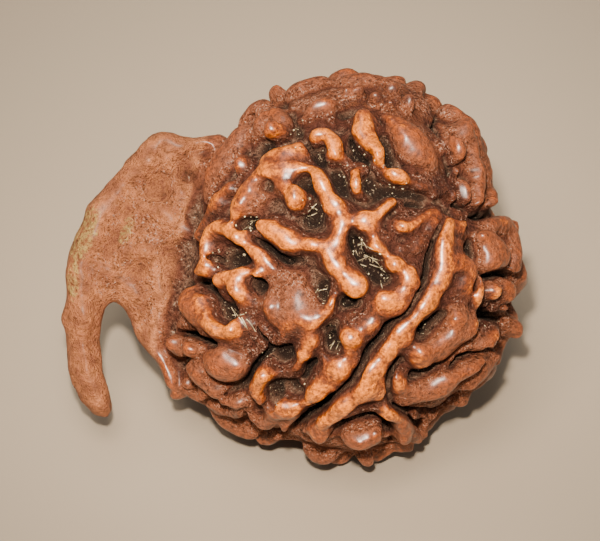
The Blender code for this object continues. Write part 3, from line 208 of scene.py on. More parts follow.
# Ridges: height of the crest over the valleys, then the crest's points as u, v, radius.
RIDGES = [
    # The ring left of the middle, and the ridge that closes it below.
    (1.6, [(-6.9, 2.1, 0.42), (-7.1, 3.3, 0.5), (-6.8, 4.3, 0.55), (-6.2, 5.2, 0.6),
        (-5.5, 5.65, 0.6), (-4.5, 6.05, 0.62), (-3.3, 6.05, 0.56), (-2.25, 5.75, 0.52),
        (-1.5, 5.4, 0.5), (-1.2, 4.7, 0.5), (-1.0, 4.2, 0.5), (-0.6, 3.4, 0.58), (-0.5, 2.7, 0.58),
        (-0.6, 2.0, 0.58), (-1.0, 1.4, 0.6), (-1.3, 0.9, 0.55)]),
    (1.5, [(-5.5, 2.7, 0.34), (-4.6, 2.15, 0.46), (-4.0, 1.8, 0.54), (-3.4, 1.45, 0.42),
        (-2.6, 1.6, 0.38), (-1.8, 1.4, 0.4), (-1.2, 1.0, 0.5)]),
    (1.3, [(-4.7, 5.8, 0.4), (-4.2, 5.2, 0.45), (-3.8, 4.8, 0.45)]),
    (1.2, [(-3.0, 5.75, 0.4), (-3.4, 5.3, 0.36), (-3.6, 4.9, 0.36)]),
    (1.2, [(-6.35, 1.8, 0.45), (-5.85, 1.15, 0.55), (-5.3, 0.6, 0.5), (-4.8, 0.2, 0.4)]),
    # From the ring down to the big lump in the middle.
    (1.55, [(-1.25, 0.8, 0.46), (-0.75, 0.1, 0.46), (-0.2, -0.5, 0.55)]),
    # The star and its arms.
    (1.25, [(-0.35, 3.2, 0.34), (0.4, 3.05, 0.4), (1.0, 2.95, 0.5)]),
    (1.5, [(1.0, 2.95, 0.62), (1.7, 3.3, 0.38), (2.3, 3.65, 0.3), (2.75, 4.1, 0.24)]),
    (1.5, [(1.0, 2.95, 0.6), (1.35, 2.2, 0.36), (1.55, 1.5, 0.42), (2.1, 0.95, 0.34),
        (2.7, 0.4, 0.46), (3.3, 0.0, 0.5), (3.6, -0.4, 0.56), (3.5, -1.0, 0.6), (3.1, -1.5, 0.62),
        (2.5, -1.9, 0.7)]),
    # The rim of the broad pink plain and its arm downwards.
    (1.25, [(-5.1, -2.1, 0.3), (-4.75, -2.9, 0.42), (-4.0, -3.4, 0.56), (-3.1, -3.15, 0.58),
        (-2.3, -3.0, 0.5), (-1.6, -2.6, 0.4), (-1.25, -2.0, 0.3)]),
    (1.3, [(-2.9, -3.3, 0.7), (-2.65, -4.1, 0.75), (-2.75, -4.9, 0.6), (-3.1, -5.7, 0.4),
        (-3.6, -6.15, 0.34)]),
    (0.8, [(-4.5, -4.5, 0.3), (-4.1, -4.0, 0.26)]),
    # Left of the middle.
    (1.5, [(-6.9, 2.0, 0.42), (-7.5, 2.35, 0.46), (-8.3, 2.6, 0.5), (-8.9, 2.0, 0.46),
        (-9.05, 1.2, 0.46), (-9.05, 0.4, 0.48), (-9.6, -0.3, 0.42)]),
    (1.1, [(-9.4, 2.1, 0.36), (-8.7, 3.4, 0.42), (-8.0, 4.4, 0.42), (-7.6, 5.0, 0.36)]),
    (1.45, [(-8.2, -0.45, 0.42), (-7.2, -0.2, 0.48), (-6.3, -0.3, 0.42), (-5.8, -0.2, 0.3)]),
    (1.4, [(-7.2, -0.5, 0.55), (-6.95, -1.1, 0.42), (-6.7, -1.6, 0.3)]),
    (1.75, [(-9.6, -2.3, 1.0), (-8.95, -2.85, 0.78), (-8.3, -3.35, 0.62), (-7.4, -3.6, 0.42)]),
    (0.75, [(-6.2, -2.2, 0.28), (-5.65, -3.3, 0.28), (-5.25, -4.2, 0.28), (-5.1, -4.9, 0.26)]),
    (1.25, [(-9.8, -5.9, 0.5), (-9.3, -6.7, 0.55), (-8.6, -7.4, 0.5), (-8.0, -8.0, 0.42)]),
    (1.0, [(-8.9, -8.0, 0.45), (-7.7, -8.8, 0.4), (-6.4, -8.9, 0.4), (-5.6, -9.5, 0.4)]),
    (1.5, [(-5.05, -6.35, 0.42), (-5.4, -6.8, 0.5), (-5.7, -7.4, 0.46), (-5.4, -8.1, 0.42)]),
    # The file of lumps along the left bank of the long cleft.
    (1.05, [(1.5, -2.5, 0.5), (1.1, -3.2, 0.5), (0.6, -3.9, 0.5), (0.2, -4.7, 0.5)]),
    (1.2, [(-1.65, -4.7, 0.28), (-1.4, -5.5, 0.3), (-1.1, -6.2, 0.3)]),
    (1.0, [(0.0, -5.0, 0.45), (-0.5, -6.0, 0.45), (-1.1, -6.6, 0.45)]),
    (1.1, [(-1.5, -6.8, 0.45), (-2.3, -7.7, 0.45), (-2.9, -8.0, 0.4)]),
    (1.1, [(-3.2, -7.9, 0.45), (-4.2, -8.8, 0.5), (-5.0, -9.5, 0.45)]),
    (1.5, [(-3.8, -10.1, 0.4), (-3.0, -9.8, 0.5), (-2.5, -9.6, 0.3)]),
    # The long main ridge from the mouth down the right bank of the cleft.
    (1.6, [(5.95, 3.0, 0.42), (5.85, 2.0, 0.6), (5.75, 1.0, 0.7), (5.8, 0.3, 0.85),
        (5.65, -0.4, 0.95), (5.25, -1.1, 1.0), (4.8, -1.7, 0.98), (4.25, -2.3, 0.92),
        (3.8, -2.9, 0.88), (3.4, -3.5, 0.85), (3.25, -4.1, 0.75), (3.2, -4.5, 0.5)]),
    (1.5, [(2.9, -3.9, 0.4), (2.5, -4.6, 0.6), (2.1, -5.3, 0.75), (1.5, -6.1, 0.9),
        (1.0, -6.9, 0.9), (0.9, -7.4, 0.8), (0.2, -7.9, 0.75), (-0.6, -8.4, 0.7),
        (-1.3, -9.0, 0.66), (-1.8, -9.6, 0.64), (-2.0, -10.3, 0.6)]),
    (1.3, [(1.2, -7.5, 0.55), (1.8, -7.6, 0.5), (2.1, -7.2, 0.4)]),
    (1.1, [(6.4, 2.9, 0.22), (6.4, 1.8, 0.26), (6.35, 1.0, 0.26), (6.5, 0.2, 0.28)]),
    (1.0, [(7.0, 2.9, 0.22), (6.75, 2.0, 0.22), (6.75, 1.0, 0.2)]),
    (1.35, [(6.7, 0.35, 0.5), (7.1, 0.0, 0.5), (6.9, -0.7, 0.4)]),
    (1.3, [(7.35, 0.0, 0.45), (7.65, -0.7, 0.6), (7.65, -1.5, 0.55), (7.4, -2.1, 0.4)]),
    (1.35, [(7.55, -2.6, 0.36), (7.6, -3.2, 0.42), (7.2, -3.9, 0.42), (6.5, -4.3, 0.36)]),
    # The leaf-shaped lobe in the mouth.
    (1.2, [(3.3, 2.6, 0.4), (3.8, 2.7, 0.4), (4.3, 2.95, 0.26), (4.8, 3.4, 0.2), (5.3, 3.8, 0.16)]),
    (1.0, [(3.6, 1.4, 0.2), (4.1, 1.7, 0.22), (4.5, 2.1, 0.22), (4.9, 2.7, 0.2), (5.2, 3.3, 0.16)]),
    (0.95, [(2.1, 2.1, 0.22), (2.6, 1.5, 0.25), (3.4, 1.05, 0.28), (4.1, 1.2, 0.24)]),
    # Right and lower right.
    (1.5, [(4.3, -5.4, 0.6), (5.2, -4.8, 0.5), (6.1, -4.3, 0.5), (7.0, -3.9, 0.45)]),
    (1.35, [(2.7, -6.4, 0.45), (3.15, -7.05, 0.6), (4.0, -7.4, 0.7), (5.2, -7.55, 0.7),
        (6.2, -7.0, 0.68), (7.2, -6.35, 0.66), (8.0, -5.5, 0.62), (8.7, -4.9, 0.5)]),
    (1.4, [(8.2, 2.1, 0.36), (8.9, 1.95, 0.45), (9.45, 1.2, 0.46), (9.5, 0.5, 0.4)]),
    (1.15, [(8.6, 2.9, 0.4), (9.8, 2.8, 0.45), (10.3, 1.7, 0.42), (10.3, 0.6, 0.42),
        (10.2, -0.1, 0.38)]),
    (1.25, [(9.8, -0.9, 0.65), (9.95, -1.6, 0.7), (9.7, -2.4, 0.65), (9.4, -3.0, 0.5)]),
    (1.1, [(9.3, -4.4, 0.42), (9.2, -5.2, 0.42), (8.5, -6.2, 0.45), (7.6, -7.1, 0.4)]),
    # The lower edge.
    (1.4, [(2.45, -8.3, 0.38), (2.85, -9.1, 0.48), (3.2, -9.8, 0.52), (3.4, -10.6, 0.52)]),
    (1.1, [(4.0, -9.5, 0.28), (4.25, -10.4, 0.3)]),
    (1.3, [(-0.2, -9.8, 0.45), (0.7, -9.6, 0.5), (1.5, -9.7, 0.45), (1.6, -10.4, 0.4)]),
    # The upper part.
    (1.65, [(0.65, 9.3, 0.6), (0.7, 8.5, 0.7), (0.95, 7.9, 0.7), (1.35, 7.3, 0.56),
        (1.7, 6.75, 0.4)]),
    (1.55, [(-2.15, 8.1, 0.55), (-1.6, 8.2, 0.75), (-1.1, 7.8, 0.6), (-0.85, 7.1, 0.46),
        (-0.85, 6.5, 0.34)]),
    (0.85, [(3.2, 5.4, 0.4), (4.2, 5.1, 0.34), (5.2, 4.7, 0.25)]),
    (1.0, [(6.2, 4.9, 0.26), (6.45, 4.4, 0.3)]),
    (1.0, [(-6.1, 8.2, 0.3), (-5.6, 9.1, 0.34), (-4.5, 9.5, 0.36), (-3.7, 9.1, 0.3)]),
    # Ribs of the pink lobe at the upper right.
    (1.35, [(7.2, 8.9, 0.32), (7.8, 7.7, 0.32), (8.1, 6.3, 0.32), (8.1, 4.9, 0.3),
        (8.0, 3.9, 0.26)]),
    (1.2, [(8.3, 7.0, 0.3), (8.8, 5.6, 0.3), (8.8, 4.0, 0.3)]),
    (1.2, [(6.9, 5.9, 0.26), (7.2, 4.9, 0.26), (7.4, 3.9, 0.24)]),
]

# Knobs that stand over the hollows: height, u, v, radius.
KNOBS = [
    (1.75, -3.45, 4.45, 0.58), (1.7, -6.95, 2.05, 0.42), (1.75, 0.05, -4.3, 0.66),
    (1.75, 0.95, 2.95, 0.72), (1.65, 1.55, 1.45, 0.42), (1.7, 4.35, -5.35, 0.62),
    (1.75, -8.35, -3.5, 0.5), (1.6, -2.05, -10.2, 0.55), (1.6, 3.35, 2.6, 0.42),
    (1.7, -5.35, -6.6, 0.42), (1.7, 2.65, 0.4, 0.46), (1.75, 0.35, -1.0, 0.62),
    (1.75, 2.1, -1.8, 0.55),
]

# Clefts: how deep under the valleys, then points as u, v, half width.
CLEFTS = [
    # The long black cleft from the mouth to the lower left.
    (1.5, [(5.5, 3.7, 0.1), (5.2, 2.6, 0.18), (4.75, 1.6, 0.2), (4.45, 0.6, 0.22),
        (4.2, -0.4, 0.22), (3.95, -1.2, 0.24), (3.6, -1.9, 0.26), (3.05, -2.5, 0.28),
        (2.4, -2.9, 0.3), (1.9, -3.5, 0.34), (1.5, -4.2, 0.36), (1.1, -4.8, 0.36),
        (0.7, -5.4, 0.36), (0.3, -6.0, 0.36), (-0.2, -6.7, 0.36), (-0.9, -7.25, 0.36),
        (-1.5, -7.8, 0.36), (-2.3, -8.4, 0.38), (-3.0, -9.0, 0.38), (-3.9, -9.6, 0.4),
        (-5.0, -10.2, 0.5)]),
    # The grey channel from the mouth to the upper left, and its side channel.
    (0.35, [(5.4, 4.1, 0.14), (4.2, 4.4, 0.22), (3.0, 4.7, 0.28), (2.0, 4.6, 0.34),
        (1.6, 4.1, 0.34), (0.9, 3.9, 0.3), (0.0, 4.3, 0.38), (-0.55, 5.0, 0.42), (-1.15, 5.9, 0.36),
        (-1.9, 6.6, 0.36), (-2.6, 7.3, 0.36), (-3.0, 8.2, 0.34), (-3.6, 9.3, 0.34),
        (-4.5, 10.6, 0.45)]),
    (0.1, [(-5.6, 8.0, 0.2), (-5.3, 7.4, 0.26), (-4.4, 7.35, 0.22), (-3.5, 7.6, 0.24),
        (-3.3, 8.3, 0.2)]),
    (0.2, [(1.7, 4.8, 0.2), (1.4, 5.6, 0.2), (1.0, 6.4, 0.2), (0.3, 6.8, 0.2)]),
    # To the right, to the top, and down the right side.
    (1.6, [(5.7, 3.9, 0.14), (6.5, 3.6, 0.3), (7.2, 3.25, 0.42), (8.0, 3.15, 0.44),
        (9.3, 3.3, 0.5)]),
    (0.9, [(5.6, 4.2, 0.12), (5.75, 5.8, 0.18), (5.45, 7.5, 0.2), (5.2, 8.9, 0.3),
        (5.05, 10.5, 0.8)]),
    (0.8, [(5.9, 3.6, 0.12), (6.1, 2.6, 0.1)]),
    (0.9, [(7.1, 2.2, 0.16), (7.15, 1.2, 0.22), (7.4, 0.8, 0.16)]),
    (1.1, [(7.05, -0.3, 0.14), (6.9, -1.2, 0.2), (6.75, -2.1, 0.2), (7.2, -2.4, 0.14)]),
    (1.2, [(4.0, -4.1, 0.26), (4.3, -3.3, 0.32), (4.9, -2.75, 0.3), (5.5, -2.5, 0.22)]),
    (1.3, [(2.2, -6.4, 0.22), (2.4, -5.7, 0.3), (3.0, -5.1, 0.3), (3.8, -4.95, 0.26),
        (4.1, -4.5, 0.24)]),
    (1.3, [(2.25, -6.6, 0.2), (2.35, -7.5, 0.22), (2.9, -8.1, 0.24), (3.7, -8.9, 0.26),
        (4.7, -9.9, 0.3)]),
    (1.2, [(2.8, -8.1, 0.26), (3.8, -8.35, 0.34), (5.2, -8.45, 0.36), (6.5, -8.1, 0.34),
        (7.4, -7.4, 0.3), (8.4, -6.9, 0.3)]),
    (1.3, [(5.7, -5.8, 0.26), (6.3, -5.25, 0.42), (7.0, -4.95, 0.4), (7.8, -4.5, 0.32),
        (8.9, -4.35, 0.32)]),
    (1.3, [(7.8, -0.2, 0.26), (8.5, -0.3, 0.36), (9.2, -0.4, 0.34), (10.3, -0.4, 0.3)]),
    (1.4, [(7.8, -2.5, 0.36), (8.4, -2.75, 0.5), (9.0, -3.0, 0.42), (9.8, -3.3, 0.4)]),
    (0.9, [(8.1, -2.0, 0.2), (9.0, -2.0, 0.2), (9.4, -1.2, 0.2), (9.5, -0.5, 0.2)]),
    # Around the ring and to the left of it.
    (1.5, [(-5.5, 1.75, 0.18), (-4.9, 1.35, 0.24), (-4.3, 0.85, 0.25), (-3.8, 0.45, 0.2)]),
    (0.9, [(-3.7, 0.5, 0.2), (-2.9, 0.5, 0.22)]),
    (1.4, [(-10.2, -0.9, 0.22), (-9.3, -0.9, 0.28), (-8.5, -0.8, 0.28), (-7.8, -1.25, 0.26),
        (-7.5, -1.95, 0.26)]),
    (1.5, [(-11.3, -2.7, 0.22), (-10.4, -3.2, 0.28), (-9.8, -3.6, 0.28), (-9.1, -3.85, 0.3),
        (-8.4, -4.25, 0.36), (-7.5, -4.25, 0.3)]),
    (0.9, [(-5.95, -2.2, 0.16), (-5.45, -3.2, 0.2), (-5.0, -4.0, 0.22), (-4.8, -4.9, 0.22)]),
    (0.6, [(-6.6, -2.6, 0.12), (-6.05, -3.4, 0.14), (-5.6, -4.4, 0.14)]),
    (1.2, [(-7.6, -7.3, 0.22), (-6.6, -7.0, 0.3), (-5.95, -6.35, 0.34), (-5.5, -5.5, 0.36),
        (-5.1, -4.9, 0.3)]),
    (0.9, [(-10.9, -5.5, 0.3), (-10.0, -5.4, 0.3), (-9.3, -5.2, 0.26)]),
    (0.7, [(-9.6, -5.9, 0.16), (-9.1, -6.7, 0.18), (-8.3, -7.3, 0.18), (-7.4, -7.4, 0.16)]),
    (0.9, [(-6.2, -7.6, 0.2), (-6.0, -8.5, 0.26), (-5.2, -8.9, 0.2)]),
    (1.2, [(-4.0, -6.65, 0.2), (-3.3, -6.55, 0.26), (-2.6, -6.3, 0.24), (-2.4, -5.6, 0.24),
        (-1.9, -5.35, 0.2)]),
    (1.1, [(-1.8, -3.4, 0.2), (-1.35, -3.2, 0.24), (-0.9, -3.1, 0.2)]),
    (1.0, [(-0.1, 8.3, 0.16), (0.15, 7.5, 0.22), (0.6, 7.0, 0.22), (1.3, 6.6, 0.18)]),
    (0.7, [(-7.6, 8.0, 0.2), (-6.4, 8.7, 0.16), (-5.0, 9.6, 0.18), (-4.1, 10.2, 0.2)]),
    (0.5, [(1.6, 8.9, 0.16), (2.1, 7.9, 0.2), (2.6, 6.7, 0.2), (3.4, 6.1, 0.16), (4.6, 5.8, 0.16)]),
    (0.7, [(3.1, 3.85, 0.1), (4.0, 3.85, 0.1), (5.2, 3.9, 0.1)]),
    (0.5, [(2.9, 3.6, 0.12), (2.2, 3.0, 0.16), (1.9, 2.3, 0.16)]),
    (1.3, [(-0.9, -9.4, 0.3), (0.1, -8.75, 0.34), (1.1, -8.6, 0.34), (2.0, -8.7, 0.26)]),
    (0.9, [(2.1, -8.8, 0.2), (2.3, -9.6, 0.22), (2.6, -10.4, 0.2)]),
]

# Pits: u, v, half width, half height, how deep, turned by degrees.
PITS = [
    (-3.5, 3.6, 0.6, 0.3, 1.6, 0), (-9.7, 6.0, 0.5, 0.42, 1.6, 0), (-7.55, 7.95, 0.25, 0.3, 0.8, 0),
    (-9.45, 1.45, 0.22, 0.25, 0.7, 0), (-8.0, 0.6, 0.25, 0.25, 0.6, 0),
    (-3.8, -4.7, 0.4, 0.22, 0.9, 0), (-4.65, -5.0, 0.25, 0.2, 0.8, 0),
    (-7.0, -2.3, 0.55, 0.3, 1.3, -25), (4.6, 6.9, 0.16, 0.14, 0.5, 0),
    (0.5, 1.9, 0.35, 0.4, 1.3, 30), (1.7, -10.6, 0.12, 0.12, 0.5, 0), (6.4, 5.8, 0.2, 0.25, 0.6, 0),
    (0.0, -2.15, 0.45, 0.25, 1.3, 10), (-6.15, 2.75, 0.55, 0.36, 1.4, 0),
]

# Where the clefts reach the silhouette, to be carried round the back to the second meeting point.
CLEFT_ENDS = [(-4.9, -10.1), (-4.5, 10.6), (9.2, 3.2), (4.9, 10.2), (9.1, -3.6), (4.6, -10.0)]

# The line where the fin meets the body, as u for v.
FIN_LINE_V = [-9.0, -5.0, -3.0, -1.0, 2.0, 5.0, 8.3]
FIN_LINE_U = [-12.2, -11.6, -11.4, -10.4, -10.0, -9.4, -8.4]

# Places of the finish: middle as u and v, half width, half height, turned by degrees.
PULP_SPOTS = [
    (1.1, 0.8, 0.8, 1.8, 35), (-2.4, 3.5, 1.0, 0.9, 0), (-6.0, 2.8, 0.9, 0.5, 0),
    (-7.3, 0.7, 1.4, 0.6, 0), (-6.9, -2.7, 1.1, 0.6, -35), (-1.6, -1.3, 0.5, 0.8, 0),
    (-0.95, -4.1, 0.5, 1.0, 0), (0.0, -2.4, 0.6, 0.5, 0), (-4.5, -7.4, 0.6, 0.8, 0),
    (-4.7, -5.3, 0.9, 0.5, 0), (-2.5, -6.6, 0.6, 0.4, 0), (8.3, -3.0, 0.7, 0.5, 0),
    (4.7, -3.6, 0.8, 0.5, 0), (-3.0, 8.0, 0.6, 1.0, 0), (-1.4, 6.6, 0.9, 0.7, -45),
    (0.8, 6.8, 1.6, 0.6, -10), (2.0, 5.0, 1.6, 0.5, 0), (-0.2, 5.4, 0.6, 1.2, 0),
]
PINK_SPOTS = [
    (-3.6, -1.6, 2.0, 1.7, 0), (5.8, -4.4, 2.2, 1.2, 20), (6.4, -2.9, 1.2, 0.9, 0),
    (8.6, 1.0, 1.8, 2.2, 0), (7.9, 6.3, 3.4, 1.7, 110), (-5.5, 4.3, 1.4, 1.3, 0),
    (5.4, -7.2, 3.0, 1.2, 15), (7.8, -5.4, 1.8, 1.6, 0), (4.0, 7.4, 2.2, 1.2, -42),
    (-8.0, 6.6, 2.6, 1.2, 48), (-7.7, -5.7, 1.7, 1.4, 20), (0.7, -10.2, 1.6, 1.4, 0),
]
CHAR_SPOTS = [
    (2.2, 10.5, 2.6, 0.9, -4), (0.3, 9.9, 1.2, 0.5, 0), (5.6, 5.4, 1.0, 1.6, 0),
    (4.8, 8.6, 0.6, 1.4, 10),
]
OCHRE_SPOTS = [(-15.9, 2.2, 0.9, 2.4, -22), (-16.6, -0.6, 0.5, 1.6, 0), (-13.4, 2.4, 0.5, 1.2, -20)]

# Fibres: middle as u and v, reach, turned by degrees, how many.
STRANDS = (
    (0.6, 1.4, 1.2, -60, 7), (0.8, 0.5, 1.0, -30, 6), (1.4, 0.2, 1.2, -50, 7),
    (2.0, -0.6, 0.8, -30, 4), (-6.6, -2.6, 1.4, -40, 3), (-6.0, -3.3, 1.2, -60, 2),
    (-0.9, -4.2, 1.2, 80, 3), (-2.3, 3.4, 1.0, 20, 3), (-6.0, 2.8, 0.8, 0, 2),
    (-1.6, -1.3, 0.7, 70, 2),
)


def unit(vector: np.ndarray) -> np.ndarray:
    """The vector at length 1."""
    return vector / np.linalg.norm(vector)


def turned(degrees: float) -> tuple[float, float]:
    """The cosine and the sine of a turn."""
    return math.cos(math.radians(degrees)), math.sin(math.radians(degrees))


def along(offset: Sequence[np.ndarray], axis: np.ndarray) -> np.ndarray:
    """How far offsets in u, v and w reach along an axis."""
    return sum(offset[i] * axis[i] for i in range(3))


def linear(code: str) -> tuple[float, float, float, float]:
    """Turns an sRGB colour into the linear one that shaders take.

    Args:
        code: six hexadecimal digits after a #.

    Returns:
        Linear red, green and blue, and an alpha of 1.
    """
    parts = [int(code[i : i + 2], 16) / 255 for i in (1, 3, 5)]
    low = [p / 12.92 if p <= 0.04045 else ((p + 0.055) / 1.055) ** 2.4 for p in parts]
    return (low[0], low[1], low[2], 1.0)


def smooth_step(low: float, high: float, value: np.ndarray) -> np.ndarray:
    """0 up to low, 1 from high on, and a smooth rise between."""
    part = np.clip((value - low) / (high - low), 0, 1)
    return part * part * (3 - 2 * part)


def smooth_union(one: np.ndarray, other: np.ndarray, blend: float) -> np.ndarray:
    """The smaller of two distances, with a fillet about blend wide where they meet."""
    part = np.clip(0.5 + 0.5 * (other - one) / blend, 0, 1)
    return other + (one - other) * part - blend * part * (1 - part)


def smooth_string(points: Sequence[Point], spacing: float) -> np.ndarray:
    """Draws a smooth curve through points.

    Args:
        points: the points, each with a third number that changes along the curve as the place does.
        spacing: about how far apart the found points are.

    Returns:
        The curve's points, one a row.
    """
    known = np.array(points, dtype=float)
    if len(known) == 1:
        return np.repeat(known, 2, axis=0)
    padded = np.vstack([2 * known[0] - known[1], known, 2 * known[-1] - known[-2]])
    found = []
    for i in range(1, len(padded) - 2):
        before, start, end, later = padded[i - 1 : i + 3]
        slope = end - before
        bend = 2 * before - 5 * start + 4 * end - later
        twist = 3 * start - before - 3 * end + later
        pieces = max(1, round(float(np.linalg.norm((end - start)[:2])) / spacing))
        for t in np.arange(pieces) / pieces:
            found.append(0.5 * (2 * start + slope * t + bend * t**2 + twist * t**3))
    found.append(known[-1])
    return np.array(found)


def value_noise(
    shape: Sequence[int], step: float, wave: float, rng: np.random.Generator
) -> np.ndarray:
    """Makes a smooth random field.

    Args:
        shape: the grid's size in cells.
        step: the size of a cell.
        wave: about how wide a bump is.
        rng: where the random numbers come from.

    Returns:
        A block of that shape, of about -1 to 1.
    """
    field = rng.uniform(-1, 1, [int(size * step / wave) + 4 for size in shape])
    for axis, size in enumerate(shape):
        place = np.arange(size) * step / wave
        low = place.astype(int)
        part = place - low
        part = (part * part * (3 - 2 * part)).reshape([-1 if i == axis else 1 for i in range(3)])
        field = np.take(field, low, axis) * (1 - part) + np.take(field, low + 1, axis) * part
    return field.astype(np.float32)


def box_blurred(block: np.ndarray, reach: int, times: int) -> np.ndarray:
    """Replaces each value of a block by the mean of a cube of cells round it.

    Args:
        block: the values.
        reach: how many cells the cube reaches to each side.
        times: how many times over.

    Returns:
        The blurred block.
    """
    for _ in range(times):
        for axis in range(3):
            near = np.moveaxis(block, axis, 0)
            padded = np.pad(near, ((reach + 1, reach), (0, 0), (0, 0)), mode="edge")
            total = np.cumsum(padded, axis=0, dtype=np.float32)
            mean = (total[2 * reach + 1 :] - total[: -2 * reach - 1]) / (2 * reach + 1)
            block = np.moveaxis(mean, 0, axis)
    return np.ascontiguousarray(block)


@dataclass(frozen=True)
class Egg:
    """The body of the stone, without its ridges.

    Attributes:
        silhouette: radii from the middle every 15 degrees, from the right round by the top.
        half_depth: from the middle to the face and to the back.
        ridge_height: how far the valleys lie under the silhouette.
        rim: the size from which a place counts as lying on the silhouette.
        nudge: the step to each side over which a slope is measured.
    """

    silhouette: tuple[float, ...] = SILHOUETTE
    half_depth: float = 10.3
    ridge_height: float = 1.05
    rim: float = 0.998
    nudge: float = 0.05

    def outline_radius(self, angle: np.ndarray) -> np.ndarray:
        """Joins the silhouette's radii by a smooth curve.

        Args:
            angle: the directions, in radians.

        Returns:
            The radius in each direction.
        """
        count = len(self.silhouette)
        radii = np.array(self.silhouette)
        place = np.mod(angle, 2 * np.pi) / (2 * np.pi) * count
        low = np.floor(place).astype(int) % count
        part = place - np.floor(place)
        before, here, after, later = (radii[(low + k) % count] for k in (-1, 0, 1, 2))
        square = part * part
        cube = square * part
        return (
            (2 * cube - 3 * square + 1) * here
            + (cube - 2 * square + part) * (after - before) / 2
            + (3 * square - 2 * cube) * after
            + (cube - square) * (later - here) / 2
        )

    def deep(self, lift: float) -> float:
        """From the middle to the valley floor of the face, raised by lift."""
        return self.half_depth - self.ridge_height + lift

    def size_at(self, u: np.ndarray, v: np.ndarray, w: np.ndarray, lift: float) -> np.ndarray:
        """1 on the valley floor raised by lift, less inside it and more outside."""
        reach = self.outline_radius(np.arctan2(v, u)) - self.ridge_height + lift
        return np.sqrt((np.hypot(u, v) / reach) ** 2 + (w / self.deep(lift)) ** 2)

    def height_at(self, u: np.ndarray, v: np.ndarray, w: np.ndarray) -> np.ndarray:
        """How far a point stands over the valley floor."""
        size = self.size_at(u, v, w, 0.0)
        return np.sqrt(u * u + v * v + w * w) * (1 - 1 / np.maximum(size, 0.05))

    def on_floor(self, way: np.ndarray) -> np.ndarray:
        """The point of the valley floor in a direction from the middle."""
        return way / self.size_at(way[0], way[1], way[2], 0.0)

    def seen_at(self, u: float, v: float, lift: float) -> np.ndarray:
        """Finds what the eye sees of the egg.

        Args:
            u: how far right.
            v: how far up.
            lift: how far the egg's valley floor is raised.

        Returns:
            The point at u, v, or the nearest one on the silhouette.
        """
        size = float(self.size_at(u, v, 0.0, lift))
        if size < self.rim:
            return np.array([u, v, self.deep(lift) * math.sqrt(1 - size * size)])
        return np.array([u, v, 0.0]) / size

    def normal_at(self, point: np.ndarray) -> np.ndarray:
        """Finds the way straight out of the egg.

        Args:
            point: where.

        Returns:
            The way, at length 1.
        """
        steps = np.eye(3) * self.nudge
        slope = [self.size_at(*(point + s), 0.0) - self.size_at(*(point - s), 0.0) for s in steps]
        return unit(np.array(slope, dtype=float))


Block = tuple[slice, ...]
Shape = tuple[Block, np.ndarray]


